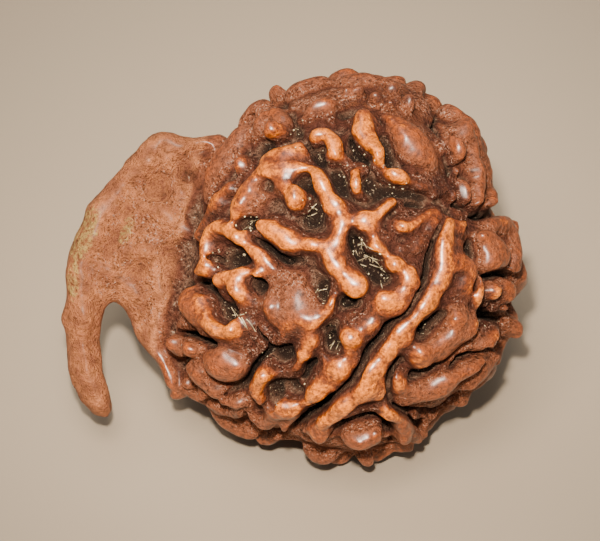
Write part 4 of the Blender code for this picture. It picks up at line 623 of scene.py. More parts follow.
class Clay:
    """A block of distances to the surface, in which shapes are laid on and pressed in."""

    LOW = (-18.6, -13.6, -11.4)
    HIGH = (12.0, 13.6, 11.4)

    # How wide and how high the waver is that keeps the shapes from being too regular.
    WAVER = ((2.3, 0.15), (1.1, 0.12))

    def __init__(self, step: float, seed: int) -> None:
        """Makes an empty block.

        Args:
            step: the size of a cell.
            seed: for the waver.
        """
        self.low = np.array(self.LOW)
        self.step = step
        self.shape = tuple(int(size / step) + 1 for size in np.array(self.HIGH) - self.low)
        rng = np.random.default_rng(seed)
        self.place = []
        for i in range(3):
            line = self.low[i] + step * np.arange(self.shape[i])
            line = line.reshape([-1 if k == i else 1 for k in range(3)])
            bend = sum(high * value_noise(self.shape, step, wide, rng) for wide, high in self.WAVER)
            self.place.append((line + bend).astype(np.float32))
        self.far = np.full(self.shape, FAR, np.float32)

    def near(self, points: np.ndarray, reach: float) -> Block:
        """Finds the cells round some points.

        Args:
            points: one a row.
            reach: how far round them.

        Returns:
            The block of cells.
        """
        low = (points.min(axis=0) - reach - self.low) / self.step
        high = (points.max(axis=0) + reach - self.low) / self.step
        first = np.clip(low.astype(int), 0, self.shape)
        last = np.clip(high.astype(int) + 2, 0, self.shape)
        return tuple(slice(a, b) for a, b in zip(first, last))

    def offset(self, near: Block, centre: np.ndarray) -> list[np.ndarray]:
        """How far the cells of a block lie from a centre in u, v and w."""
        return [self.place[i][near] - centre[i] for i in range(3)]

    def union(self, whole: Block, parts: Iterable[Shape]) -> Shape:
        """Joins shapes into one.

        Args:
            whole: the block that holds them all.
            parts: the shapes.

        Returns:
            The whole block and the smallest of their distances in each of its cells.
        """
        found = np.full([max(0, s.stop - s.start) for s in whole], FAR, np.float32)
        for near, gap in parts:
            inner = tuple(slice(n.start - w.start, n.stop - w.start) for n, w in zip(near, whole))
            found[inner] = np.minimum(found[inner], gap)
        return whole, found

    def cord(self, centres: np.ndarray, radii: np.ndarray) -> Shape:
        """Makes a string of balls, joined by cones.

        Args:
            centres: their middles, one a row.
            radii: their radii.

        Returns:
            The block round it and the distances to it.
        """
        links = zip(centres, centres[1:], radii, radii[1:])
        return self.union(self.near(centres, radii.max() + MARGIN), (self.link(*e) for e in links))

    def link(self, start: np.ndarray, end: np.ndarray, first: float, last: float) -> Shape:
        """Makes one link of a cord.

        Args:
            start: the middle of the ball at one end.
            end: the middle of the ball at the other end.
            first: the first ball's radius.
            last: the last ball's radius.

        Returns:
            The block round it and the distances to it.
        """
        near = self.near(np.array([start, end]), max(first, last) + MARGIN)
        way = end - start
        offset = self.offset(near, start)
        t = np.clip(along(offset, way) / max(float(way @ way), 1e-9), 0, 1)
        gap = np.sqrt(sum((offset[i] - t * way[i]) ** 2 for i in range(3)))
        gap -= first + (last - first) * t
        return near, gap

    def strip(
        self,
        points: np.ndarray,
        normals: np.ndarray,
        widths: np.ndarray,
        low: float,
        high: float,
        foot: float,
        flat: float = 1.0,
    ) -> Shape:
        """Finds the distances to a wall or a gap that follows the surface.

        Args:
            points: the curve that it follows.
            normals: straight up from the surface at each point.
            widths: half its width at each point.
            low: where it starts, over the points.
            high: where it ends, over the points.
            foot: how many times as wide it is at low as at high.
            flat: how many times as wide as high its rounding is.

        Returns:
            The block round it, and the distances.
        """
        parts = []
        for i in range(len(points) - 1):
            way = points[i + 1] - points[i]
            half = float(np.linalg.norm(way)) / 2
            if half < 1e-6:
                continue
            way = way / (2 * half)
            up = normals[i] + normals[i + 1]
            up = unit(up - way * float(up @ way))
            ends = np.array([points[i], points[i + 1]])
            near = self.near(np.vstack([ends + up * high, ends + up * low]), MARGIN)
            offset = self.offset(near, (points[i] + points[i + 1]) / 2)
            run, rise, side = (along(offset, axis) for axis in (way, up, np.cross(way, up)))
            width = widths[i] + (widths[i + 1] - widths[i]) * np.clip(run / (2 * half) + 0.5, 0, 1)
            width = width * (foot + (1 - foot) * np.clip((rise - low) / (high - low), 0, 1))
            beyond = flat * np.maximum(np.abs(rise - (low + high) / 2) - (high - low) / 2, 0)
            gap = np.sqrt(np.maximum(np.abs(run) - half, 0) ** 2 + side**2 + beyond**2) - width
            parts.append((near, gap))
        return self.union(self.near(points, max(abs(low), high) + MARGIN), parts)

    def lens(self, centre: np.ndarray, axes: Sequence[np.ndarray], halves: Point) -> Shape:
        """Makes an ellipsoid.

        Args:
            centre: its middle.
            axes: the ways of its three axes, at length 1.
            halves: its half sizes along them.

        Returns:
            The block round it and the distances to it.
        """
        near = self.near(centre[None, :], max(halves) + MARGIN)
        offset = self.offset(near, centre)
        size = np.zeros_like(offset[0])
        slope = np.zeros_like(offset[0])
        for axis, half in zip(axes, halves):
            part = along(offset, axis) / half
            size += part**2
            slope += (part / half) ** 2
        size = np.sqrt(size)
        return near, (size * (size - 1) / np.maximum(np.sqrt(slope), 1e-6)).astype(np.float32)

    def add(self, shape: Shape, blend: float) -> None:
        """Lays a shape on, with a fillet."""
        near, gap = shape
        self.far[near] = smooth_union(self.far[near], gap, blend)

    def cut(self, shape: Shape, blend: float) -> None:
        """Presses a shape in, with a rounded edge."""
        near, gap = shape
        self.far[near] = -smooth_union(-self.far[near], gap, blend)

    def soften(self, times: int) -> None:
        """Rounds off what is thinner than the clay can hold.

        Args:
            times: how many times over.
        """
        for _ in range(times):
            for axis in range(3):
                near = np.moveaxis(self.far, axis, 0)
                soft = near.copy()
                soft[1:-1] = 0.5 * near[1:-1] + 0.25 * (near[:-2] + near[2:])
                self.far = np.ascontiguousarray(np.moveaxis(soft, 0, axis))

    def roughen(self, waves: Iterable[tuple[float, float]], seed: int) -> None:
        """Adds bumps to the surface.

        Args:
            waves: how wide and how high the bumps are, for each kind.
            seed: for their places.
        """
        rng = np.random.default_rng(seed)
        for wide, high in waves:
            self.far += high * value_noise(self.shape, self.step, wide, rng)

    def crowding(self, reach: float) -> np.ndarray:
        """How much is stone round each cell: under half on a crest, over half in a cleft."""
        inside = np.clip(0.5 - self.far / self.step, 0, 1)
        return box_blurred(inside, max(1, round(reach / self.step)), 2)

    def read(self, block: np.ndarray, points: np.ndarray) -> np.ndarray:
        """Reads values of a block, joined smoothly between cells.

        Args:
            block: a value for each cell.
            points: where to read it, in millimetres, one a row.

        Returns:
            A value for each point.
        """
        place = (points - self.low) / self.step
        low = np.clip(np.floor(place).astype(int), 0, np.array(self.shape) - 2)
        part = place - low
        found = np.zeros(len(points))
        for corner in itertools.product((0, 1), repeat=3):
            weight = np.prod(np.where(np.array(corner) == 1, part, 1 - part), axis=1)
            found += weight * block[tuple((low + corner).T)]
        return found

    def surface(self) -> tuple[np.ndarray, np.ndarray]:
        """Draws the surface round the largest thing in the clay, without crumbs and closed bubbles.

        Returns:
            Its corners, and its four-sided faces as numbers of corners.
        """
        grid = openvdb.FloatGrid()
        grid.background = FAR
        grid.copyFromArray(self.far)
        points, _, quads = grid.convertToPolygons(isovalue=0.0, adaptivity=0.0)
        label = np.arange(len(points))
        while True:
            lowest = label[quads].min(axis=1)
            fresh = label.copy()
            for corner in range(4):
                np.minimum.at(fresh, quads[:, corner], lowest)
            fresh = fresh[fresh]
            if (fresh == label).all():
                break
            label = fresh
        names, counts = np.unique(label[quads[:, 0]], return_counts=True)
        quads = quads[label[quads[:, 0]] == names[counts.argmax()]]
        used, index = np.unique(quads, return_inverse=True)
        return points[used].astype(float) * self.step + self.low, index.reshape(quads.shape)

    def top_at(self, u: float, v: float) -> float:
        """Finds the surface that the eye sees.

        Args:
            u: how far right.
            v: how far up.

        Returns:
            How near to the eye it is, or 0 where there is none.
        """
        i = round((u - self.low[0]) / self.step)
        k = round((v - self.low[1]) / self.step)
        inside = np.flatnonzero(self.far[i, k] < 0)
        return float(self.low[2] + self.step * inside[-1]) if len(inside) else 0.0


@dataclass(frozen=True)
class Fin:
    """The thin fin with its trunk, one plate that stands out of the egg's left side.

    Attributes:
        outline: its outline from the front.
        folds: folds on both faces, each its height and its points.
        dents: shallow dents in both faces.
        middle: where its middle plane lies, in w.
        edge_half: half its thickness at its edge.
        swell: how much thicker it grows, for each millimetre from its edge.
        swell_reach: how far from its edge it goes on growing thicker.
        round_edge: the radius of its edge.
        rim: how far from the edge a fold or a dent is set at least.
        dent_raise: how far over the face a dent's middle lies.
        root_blend: how wide the fillet at the body is.
        fold_blend: how wide the fillet at a fold's foot is.
        fold_spacing: between the points that a fold is made of.
        dent_blend: how rounded a dent's edge is.
    """

    outline: list[tuple[float, float]]
    folds: list[tuple[float, String]]
    dents: list[Lens]
    middle: float = -1.9
    edge_half: float = 0.8
    swell: float = 0.2
    swell_reach: float = 6.0
    round_edge: float = 0.8
    rim: float = 0.6
    dent_raise: float = 0.15
    root_blend: float = 1.2
    fold_blend: float = 0.45
    fold_spacing: float = 0.5
    dent_blend: float = 0.3

    def edge_gap(self, u: np.ndarray, v: np.ndarray) -> np.ndarray:
        """Measures to the outline, seen from the front.

        Args:
            u: how far right the points are.
            v: how far up they are.

        Returns:
            The distance from each point, negative inside the outline.
        """
        gap = np.full(u.shape, 1e9)
        inside = np.zeros(u.shape, bool)
        for (u1, v1), (u2, v2) in zip(self.outline, self.outline[1:] + self.outline[:1]):
            du, dv = u2 - u1, v2 - v1
            t = np.clip(((u - u1) * du + (v - v1) * dv) / (du * du + dv * dv), 0, 1)
            gap = np.minimum(gap, (u - u1 - t * du) ** 2 + (v - v1 - t * dv) ** 2)
            if v1 != v2:
                crosses = (v1 > v) != (v2 > v)
                inside ^= crosses & (u < (v - v1) * du / dv + u1)
        gap = np.sqrt(gap)
        return np.where(inside, -gap, gap)

    def half(self, edge_gap: np.ndarray) -> np.ndarray:
        """Half the fin's thickness at a distance from its edge."""
        return self.edge_half + self.swell * np.clip(-edge_gap, 0, self.swell_reach)

    def face(self, u: float, v: float) -> float:
        """How far the fin's face stands from its middle at u, v."""
        edge = float(self.edge_gap(np.array([u]), np.array([v]))[0])
        return float(self.half(min(edge, -self.rim)))

    def lay_on(self, clay: Clay) -> None:
        """Adds the plate, its folds and its dents.

        Args:
            clay: where.
        """
        u, v = (clay.place[i][:, :, clay.shape[2] // 2].astype(float) for i in (0, 1))
        edge = self.edge_gap(u, v)[:, :, None].astype(np.float32)
        side = edge + self.round_edge
        face = np.abs(clay.place[2] - self.middle) - self.half(edge) + self.round_edge
        gap = np.hypot(np.maximum(side, 0), np.maximum(face, 0))
        gap += np.minimum(np.maximum(side, face), 0) - self.round_edge
        clay.far = smooth_union(clay.far, np.minimum(gap, FAR), self.root_blend)
        for out in (1, -1):
            self.shape_face(clay, out)

    def shape_face(self, clay: Clay, out: int) -> None:
        """Lays the folds on one face and presses its dents.

        Args:
            clay: where.
            out: 1 for the face that the eye sees and -1 for the other.
        """
        for lift, points in self.folds:
            string = smooth_string(points, self.fold_spacing)
            rise = [self.face(u, v) + lift - radius for u, v, radius in string]
            depth = self.middle + out * np.array(rise)
            centres = np.column_stack([string[:, 0], string[:, 1], depth])
            clay.add(clay.cord(centres, string[:, 2]), self.fold_blend)
        for u, v, wide, tall, depth, turn in self.dents:
            way = np.array([*turned(turn), 0.0])
            axes = (way, np.cross(TO_EYE, way), TO_EYE)
            centre = np.array([u, v, self.middle + out * (self.face(u, v) + self.dent_raise)])
            halves = (wide, tall, depth + self.dent_raise)
            clay.cut(clay.lens(centre, axes, halves), self.dent_blend)


@dataclass(frozen=True)
class Face:
    """The relief of the side that the eye sees: ridges and lumps between clefts and pits.

    Attributes:
        egg: what it lies on.
        foot: how many times as wide a ridge is at its foot as at its crest.
        flatness: how many times as wide as high a crest's rounding is.
        knobble: how much the ridges' width goes up and down, as a share of it.
        crest_knobble: how much their height goes up and down.
        lump_raise: how far over the valley floor the lumps' middles lie.
        press_raise: how far over the valley floor the hollows' and pits' middles lie.
        bottom: how many times as wide a cleft is at its bottom as at its mouth.
        past: how far over the ridges the clefts reach.
        spacing: between the points that a ridge is made of.
        cleft_spacing: between the points that a cleft is made of.
        lump_blend: how wide the fillets at the lumps' feet are.
        ridge_blend: how wide those at the ridges' feet are.
        knob_blend: how wide those at the knobs' feet are.
        hollow_blend: how rounded the hollows' edges are.
        cleft_blend: how rounded the clefts' edges are.
        pit_blend: how rounded the pits' edges are.
    """

    egg: Egg
    foot: float = 2.2
    flatness: float = 1.2
    knobble: float = 0.2
    crest_knobble: float = 0.14
    lump_raise: float = 0.1
    press_raise: float = 0.35
    bottom: float = 0.4
    past: float = 0.8
    spacing: float = 0.35
    cleft_spacing: float = 0.3
    lump_blend: float = 0.22
    ridge_blend: float = 0.4
    knob_blend: float = 0.25
    hollow_blend: float = 0.7
    cleft_blend: float = 0.22
    pit_blend: float = 0.15

    def ridge(self, clay: Clay, lift: float, points: String) -> Shape:
        """Makes a wall with a rounded top and a wider foot, or a knob where there is one point.

        Args:
            clay: what it is measured in.
            lift: how high the crest stands over the valleys.
            points: where the crest is seen, and its radius there.

        Returns:
            The block round it and the distances to it.
        """
        string = smooth_string(points, self.spacing)
        u, v = string[:, 0], string[:, 1]
        # Two crossing waves, a few millimetres long, so that no two places on the crests are alike.
        waver = np.sin(3.1 * u + 1.9 * v) * np.sin(2.2 * u - 3.3 * v + 1.0)
        radii = string[:, 2] * (1 + self.knobble * waver)
        if len(points) == 1:
            return self.knob(clay, lift, points[0], radii)
        lifts = lift + self.crest_knobble * waver
        crests = np.array([self.egg.seen_at(*place) for place in zip(u, v, lifts)])
        normals = np.array([self.egg.normal_at(crest) for crest in crests])
        centres = crests - normals * radii[:, None] / self.flatness
        # The foot reaches a little under the valley floor.
        deep = -max(0.2, lift - float(radii.min()) / self.flatness + 0.1)
        return clay.strip(centres, normals, radii, deep, 0.0, self.foot, self.flatness)

    def knob(self, clay: Clay, lift: float, point: Point, radii: np.ndarray) -> Shape:
        """Makes a ball on a short wide foot.

        Args:
            clay: what it is measured in.
            lift: how high it stands over the valleys.
            point: where it is seen.
            radii: of the foot and of the ball.

        Returns:
            The block round it and the distances to it.
        """
        crest = self.egg.seen_at(point[0], point[1], lift)
        normal = self.egg.normal_at(crest)
        centres = crest - normal * radii[:, None]
        centres[0] -= normal * max(0.1, lift - radii[0])
        return clay.cord(centres, radii * np.array([1.2, 1.0]))

    def swelling(self, clay: Clay, spot: tuple[float, float, float, float]) -> Shape:
        """Makes a low dome, the top of a ball that is mostly inside the egg.

        Args:
            clay: what it is measured in.
            spot: where it is seen, the radius of its foot and its rise.

        Returns:
            The block round it and the distances to it.
        """
        u, v, foot, rise = spot
        radius = (foot * foot + rise * rise) / (2 * rise)
        point = self.egg.seen_at(u, v, 0.0)
        centre = point + self.egg.normal_at(point) * (rise - radius)
        return clay.cord(np.array([centre, centre]), np.array([radius, radius]))

    def lens(self, clay: Clay, spot: Lens, lift: float, shown: float = 0.0) -> Shape:
        """Makes an ellipsoid on the raised egg.

        Args:
            clay: what it is measured in.
            spot: where it is seen, its half sizes, the third over the valleys, and its turn.
            lift: how far the egg is raised.
            shown: how far what is seen at the spot stands over the ellipsoid's middle.

        Returns:
            The block round it and the distances to it.
        """
        u, v, long, wide, tall, turn = spot
        point = self.egg.seen_at(u, v, lift + shown)
        normal = self.egg.normal_at(point)
        point = point - normal * shown
        side = np.array([*turned(turn), 0.0])
        side = unit(side - normal * float(side @ normal))
        return clay.lens(point, (side, np.cross(normal, side), normal), (long, wide, tall))

    def cleft(
        self, clay: Clay, points: np.ndarray, widths: np.ndarray, depth: float, lean: float
    ) -> Shape:
        """Makes a gap that is narrower at its bottom.

        Args:
            clay: what it is measured in.
            points: the points of the valley floor that it follows, one a row.
            widths: half its width at each.
            depth: how deep it goes under them.
            lean: how much it leans towards the eye.

        Returns:
            The block round it and the distances to it.
        """
        normals = np.array([unit(self.egg.normal_at(point) + lean * TO_EYE) for point in points])
        high = self.egg.ridge_height + self.past
        return clay.strip(points, normals, widths, -depth, high, self.bottom)

    def press(self, clay: Clay, spots: Iterable[Lens], blend: float) -> None:
        """Presses lenses into the clay.

        Args:
            clay: where.
            spots: where they are seen, half widths, half heights, depths and turns.
            blend: how rounded their edges are.
        """
        for u, v, wide, tall, depth, turn in spots:
            spot = (u, v, wide, tall, depth + self.press_raise, turn)
            clay.cut(self.lens(clay, spot, self.press_raise), blend)

    def raise_lumps(self, clay: Clay) -> None:
        """Lays on the lumps and the ridges and hollows out the floors between.

        Args:
            clay: where.
        """
        for u, v, long, wide, height, turn in LUMPS:
            spot = (u, v, long, wide, height - self.lump_raise, turn)
            shape = self.lens(clay, spot, self.lump_raise, LUMP_SHOWN * height)
            clay.add(shape, self.lump_blend)
        for lift, points in RIDGES:
            clay.add(self.ridge(clay, lift, points), self.ridge_blend)
        self.press(clay, HOLLOWS, self.hollow_blend)

    def press_clefts(self, clay: Clay) -> None:
        """Presses the clefts and the pits and sets the knobs over them.

        Args:
            clay: where.
        """
        for depth, points in CLEFTS:
            string = smooth_string(points, self.cleft_spacing)
            floor = np.array([self.egg.seen_at(a, b, 0.0) for a, b, _ in string])
            clay.cut(self.cleft(clay, floor, string[:, 2], depth, CLEFT_LEAN), self.cleft_blend)
        self.press(clay, PITS, self.pit_blend)
        for lift, u, v, radius in KNOBS:
            clay.add(self.ridge(clay, lift, [(u, v, radius)]), self.knob_blend)


@dataclass(frozen=True)
class Back:
    """Meandering ridges and the clefts' other halves, on the sides that the eye doesn't see.

    Attributes:
        egg: what it lies on.
        mouth: where the clefts meet on the face, as u and v.
        waves: how many plane waves make the maze of ridges.
        pitch: from one ridge to the next.
        pitches: how many times the pitch the shortest and the longest wave are.
        height: of the ridges over the valley floor.
        blend: how wide the fillets at their feet are.
        fades: between which w the ridges fade out towards the face.
        bands: between which values of the maze a ridge rises.
        sway: how far a cleft sways to the side, as a share of the egg.
        widths: half a cleft's width where it starts and where it ends.
        depth: how deep the clefts go.
        count: how many points a cleft would need to reach the second meeting point.
        stops: after how many of them it may stop short.
        seed: for the maze and the clefts.
    """

    egg: Egg
    mouth: tuple[float, float] = (5.55, 3.95)
    waves: int = 26
    pitch: float = 2.9
    pitches: tuple[float, float] = (0.85, 1.18)
    height: float = 1.2
    blend: float = 0.2
    fades: tuple[float, float] = (-1.0, 0.1)
    bands: tuple[float, float] = (-0.25, 0.65)
    sway: float = 0.09
    widths: tuple[float, float] = (0.4, 0.24)
    depth: float = 1.0
    count: int = 26
    stops: tuple[int, ...] = (21, 23, 24)
    seed: int = 7

    def maze(self, u: np.ndarray, v: np.ndarray, w: np.ndarray) -> np.ndarray:
        """Lays out a maze of meandering bands that are all about as wide.

        Args:
            u: how far right the points are.
            v: how far up they are.
            w: how near to the eye they are.

        Returns:
            A value for each point, between about -1 and 1.
        """
        rng = random.Random(self.seed)
        found = np.zeros(u.shape, np.float32)
        for _ in range(self.waves):
            up = rng.uniform(-1, 1)
            angle = rng.uniform(0, 2 * math.pi)
            ring = math.sqrt(1 - up * up)
            turns = 2 * math.pi / (self.pitch * rng.uniform(*self.pitches))
            way = np.array([ring * math.cos(angle), ring * math.sin(angle), up]) * turns
            shift = rng.uniform(0, 2 * math.pi)
            found += np.cos(u * way[0] + v * way[1] + w * way[2] + shift)
        return found * math.sqrt(2 / self.waves)

    def over_the_back(
        self, start: np.ndarray, end: np.ndarray, rng: random.Random
    ) -> list[np.ndarray]:
        """Leads a wavering cleft over the back.

        Args:
            start: the direction where it starts, from the egg's middle.
            end: the direction where it ends.
            rng: where its waver comes from.

        Returns:
            The directions of its points.
        """
        turn = math.acos(max(-1.0, min(1.0, float(start @ end))))
        side = unit(np.cross(start, end))
        phase = rng.uniform(0, 6.28)
        found = []
        for t in np.linspace(0, 1, self.count):
            way = (math.sin((1 - t) * turn) * start + math.sin(t * turn) * end) / math.sin(turn)
            sway = self.sway * math.sin(math.pi * t) * math.sin(9 * t + phase)
            found.append(unit(way + side * sway))
        return found

    def model(self, clay: Clay, face: Face) -> None:
        """Lays on the maze of ridges and presses the clefts.

        Args:
            clay: where.
            face: the relief of the other side.
        """
        rng = random.Random(self.seed)
        near = (slice(None), slice(None), slice(0, int((0.6 - clay.low[2]) / clay.step)))
        u, v, w = (clay.place[i][near] for i in range(3))
        size = np.maximum(self.egg.size_at(u, v, w, 0.0), 0.1).astype(np.float32)
        bands = self.maze(u / size, v / size, w / size)
        low, high = self.bands
        # A ridge rises steeply to its shoulder and goes on slightly to its crest.
        ridges = smooth_step(low, high, bands) + 0.22 * np.clip(bands - high, 0, 1)
        start, end = self.fades
        hidden = np.clip((end - w) / (end - start), 0, 1)
        gap = np.sqrt(u * u + v * v + w * w) * (1 - 1 / size) - self.height * ridges * hidden
        # Well inside the egg the distances aren't true, and nothing is laid on there.
        gap = np.where(size < 0.7, FAR, gap).astype(np.float32)
        clay.far[near] = smooth_union(clay.far[near], gap, self.blend)
        mouth = unit(self.egg.seen_at(*self.mouth, 0.0))
        for u, v in CLEFT_ENDS:
            line = self.over_the_back(unit(np.array([u, v, -0.2])), -mouth, rng)
            points = np.array([self.egg.on_floor(way) for way in line])[: rng.choice(self.stops)]
            widths = np.linspace(*self.widths, len(points))
            clay.cut(face.cleft(clay, points, widths, self.depth, 0.0), face.cleft_blend)


@dataclass(frozen=True)
class Foot:
    """The flat spot that the stone rests on.

    Attributes:
        ball: the radius of the swelling round it.
        proud: how far the swelling stands under the stone.
        cut: how much of the swelling is sliced off.
        blend: how wide the swelling's fillet is.
    """

    ball: float = 5.5
    proud: float = 0.15
    cut: float = 0.5
    blend: float = 0.5

    def slice_off(self, clay: Clay) -> float:
        """Swells the underside below the stone's middle of weight and slices it flat.

        Args:
            clay: the stone.

        Returns:
            The height of the flat spot.
        """
        up = np.array([0.0, math.cos(FACE_TILT), math.sin(FACE_TILT)])
        inside = clay.far < 0
        height = clay.place[1] * up[1] + clay.place[2] * up[2]
        bottom = float(height[inside].min()) - self.proud
        weight = np.array([float(clay.place[i][inside].mean()) for i in range(3)])
        middle = weight + up * (bottom + self.ball - float(weight @ up))
        ball = clay.cord(np.array([middle, middle]), np.array([self.ball, self.ball]))
        clay.add(ball, self.blend)
        level = bottom + self.cut
        v, w = (clay.low[i] + clay.step * np.arange(clay.shape[i]) for i in (1, 2))
        height = v[:, None] * up[1] + w[None, :] * up[2]
        clay.far = np.maximum(clay.far, (level - height)[None, :, :].astype(np.float32))
        return level


class Place:
    """Turns the face's millimetres into the frame's metres."""

    def __init__(self, points: np.ndarray, level: float, box: tuple[Vector, Vector]) -> None:
        """Finds where the stone stands.

        Args:
            points: the fine surface, as the eye sees the face.
            level: the height of the flat spot that it rests on.
            box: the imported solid's lowest and highest corners.
        """
        sine, cosine = math.sin(FACE_TILT), math.cos(FACE_TILT)
        self.turn = np.array([[1.0, 0.0, 0.0], [0.0, sine, -cosine], [0.0, cosine, sine]])
        spun = points @ self.turn.T
        middle = (spun.min(axis=0) + spun.max(axis=0)) / 2
        self.shift = (np.array(box[0]) + np.array(box[1])) / 2 / MM - middle
        self.shift[2] = -level

    def out(self, points: np.ndarray) -> np.ndarray:
        """Points of the frame, in metres, for points of the face."""
        return (points @ self.turn.T + self.shift) * MM

    def spot(self, u: float, v: float, w: float) -> Vector:
        """One point of the frame for a point of the face."""
        return Vector(self.out(np.array([u, v, w])))


def placed(name: str, data: bpy.types.ID) -> bpy.types.Object:
    """Makes an object of some data and puts it into the scene.

    Args:
        name: its name.
        data: a mesh, a curve, a light or a camera.

    Returns:
        The object.
    """
    made = bpy.data.objects.new(name, data)
    bpy.context.scene.collection.objects.link(made)
    return made


def drawn(name: str, shape: bmesh.types.BMesh) -> bpy.types.Mesh:
    """Turns a shape that bmesh operators made into a mesh.

    Args:
        name: the mesh's name.
        shape: the shape, which is freed.

    Returns:
        The mesh.
    """
    mesh = bpy.data.meshes.new(name)
    shape.to_mesh(mesh)
    shape.free()
    return mesh


def finished_piece(
    name: str, mesh: bpy.types.Mesh, material: bpy.types.Material
) -> bpy.types.Object:
    """Makes a piece of a mesh, with smooth shading.

    Args:
        name: the piece's name.
        mesh: its mesh, in the frame's metres.
        material: its finish.

    Returns:
        The piece, which rides on the stone's body.
    """
    mesh.name = name
    mesh.materials.clear()
    mesh.materials.append(material)
    mesh.polygons.foreach_set("use_smooth", [True] * len(mesh.polygons))
    mesh.update()
    piece = placed(name, mesh)
    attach(piece, BODY)
    return piece


def evaluated_mesh(source: bpy.types.Object) -> bpy.types.Mesh:
    """Applies an object's modifiers and removes the object.

    Args:
        source: the object.

    Returns:
        Its mesh as the modifiers leave it.
    """
    bpy.context.view_layer.update()
    graph = bpy.context.evaluated_depsgraph_get()
    mesh = bpy.data.meshes.new_from_object(source.evaluated_get(graph))
    bpy.data.objects.remove(source)
    return mesh


class Mark(Enum):
    """What the stone's finish reads at each corner of its mesh, from 0 to 1."""

    # Wear of the crests, and the painted sheen on their tops.
    WORN = "worn"
    # Dirt in the clefts, and painted shade in the creases and at the ridges' feet, black where it is
    # deepest.
    DIRT = "dirt"
    FIN = "fin"
    PULP = "pulp"
    PINK = "pink"
    CHAR = "char"
    OCHRE = "ochre"
    # The bare skin of the flanks: its dark grains, and pale specks that are painted glints.
    SKIN = "skin"
    GRIT = "grit"


def soft_spots(u: np.ndarray, v: np.ndarray, spots: Sequence[tuple[float, ...]]) -> np.ndarray:
    """1 in the middle of each spot and 0 well outside, with a soft edge.

    Args:
        u: how far right the points are.
        v: how far up they are.
        spots: each the middle as u and v, half the width, half the height and the turn in degrees.

    Returns:
        A value for each point.
    """
    found = np.zeros(u.shape)
    for middle_u, middle_v, wide, tall, turn in spots:
        cosine, sine = turned(turn)
        run = (u - middle_u) * cosine + (v - middle_v) * sine
        rise = (v - middle_v) * cosine - (u - middle_u) * sine
        found = np.maximum(found, smooth_step(1.3, 0.6, np.hypot(run / wide, rise / tall)))
    return found


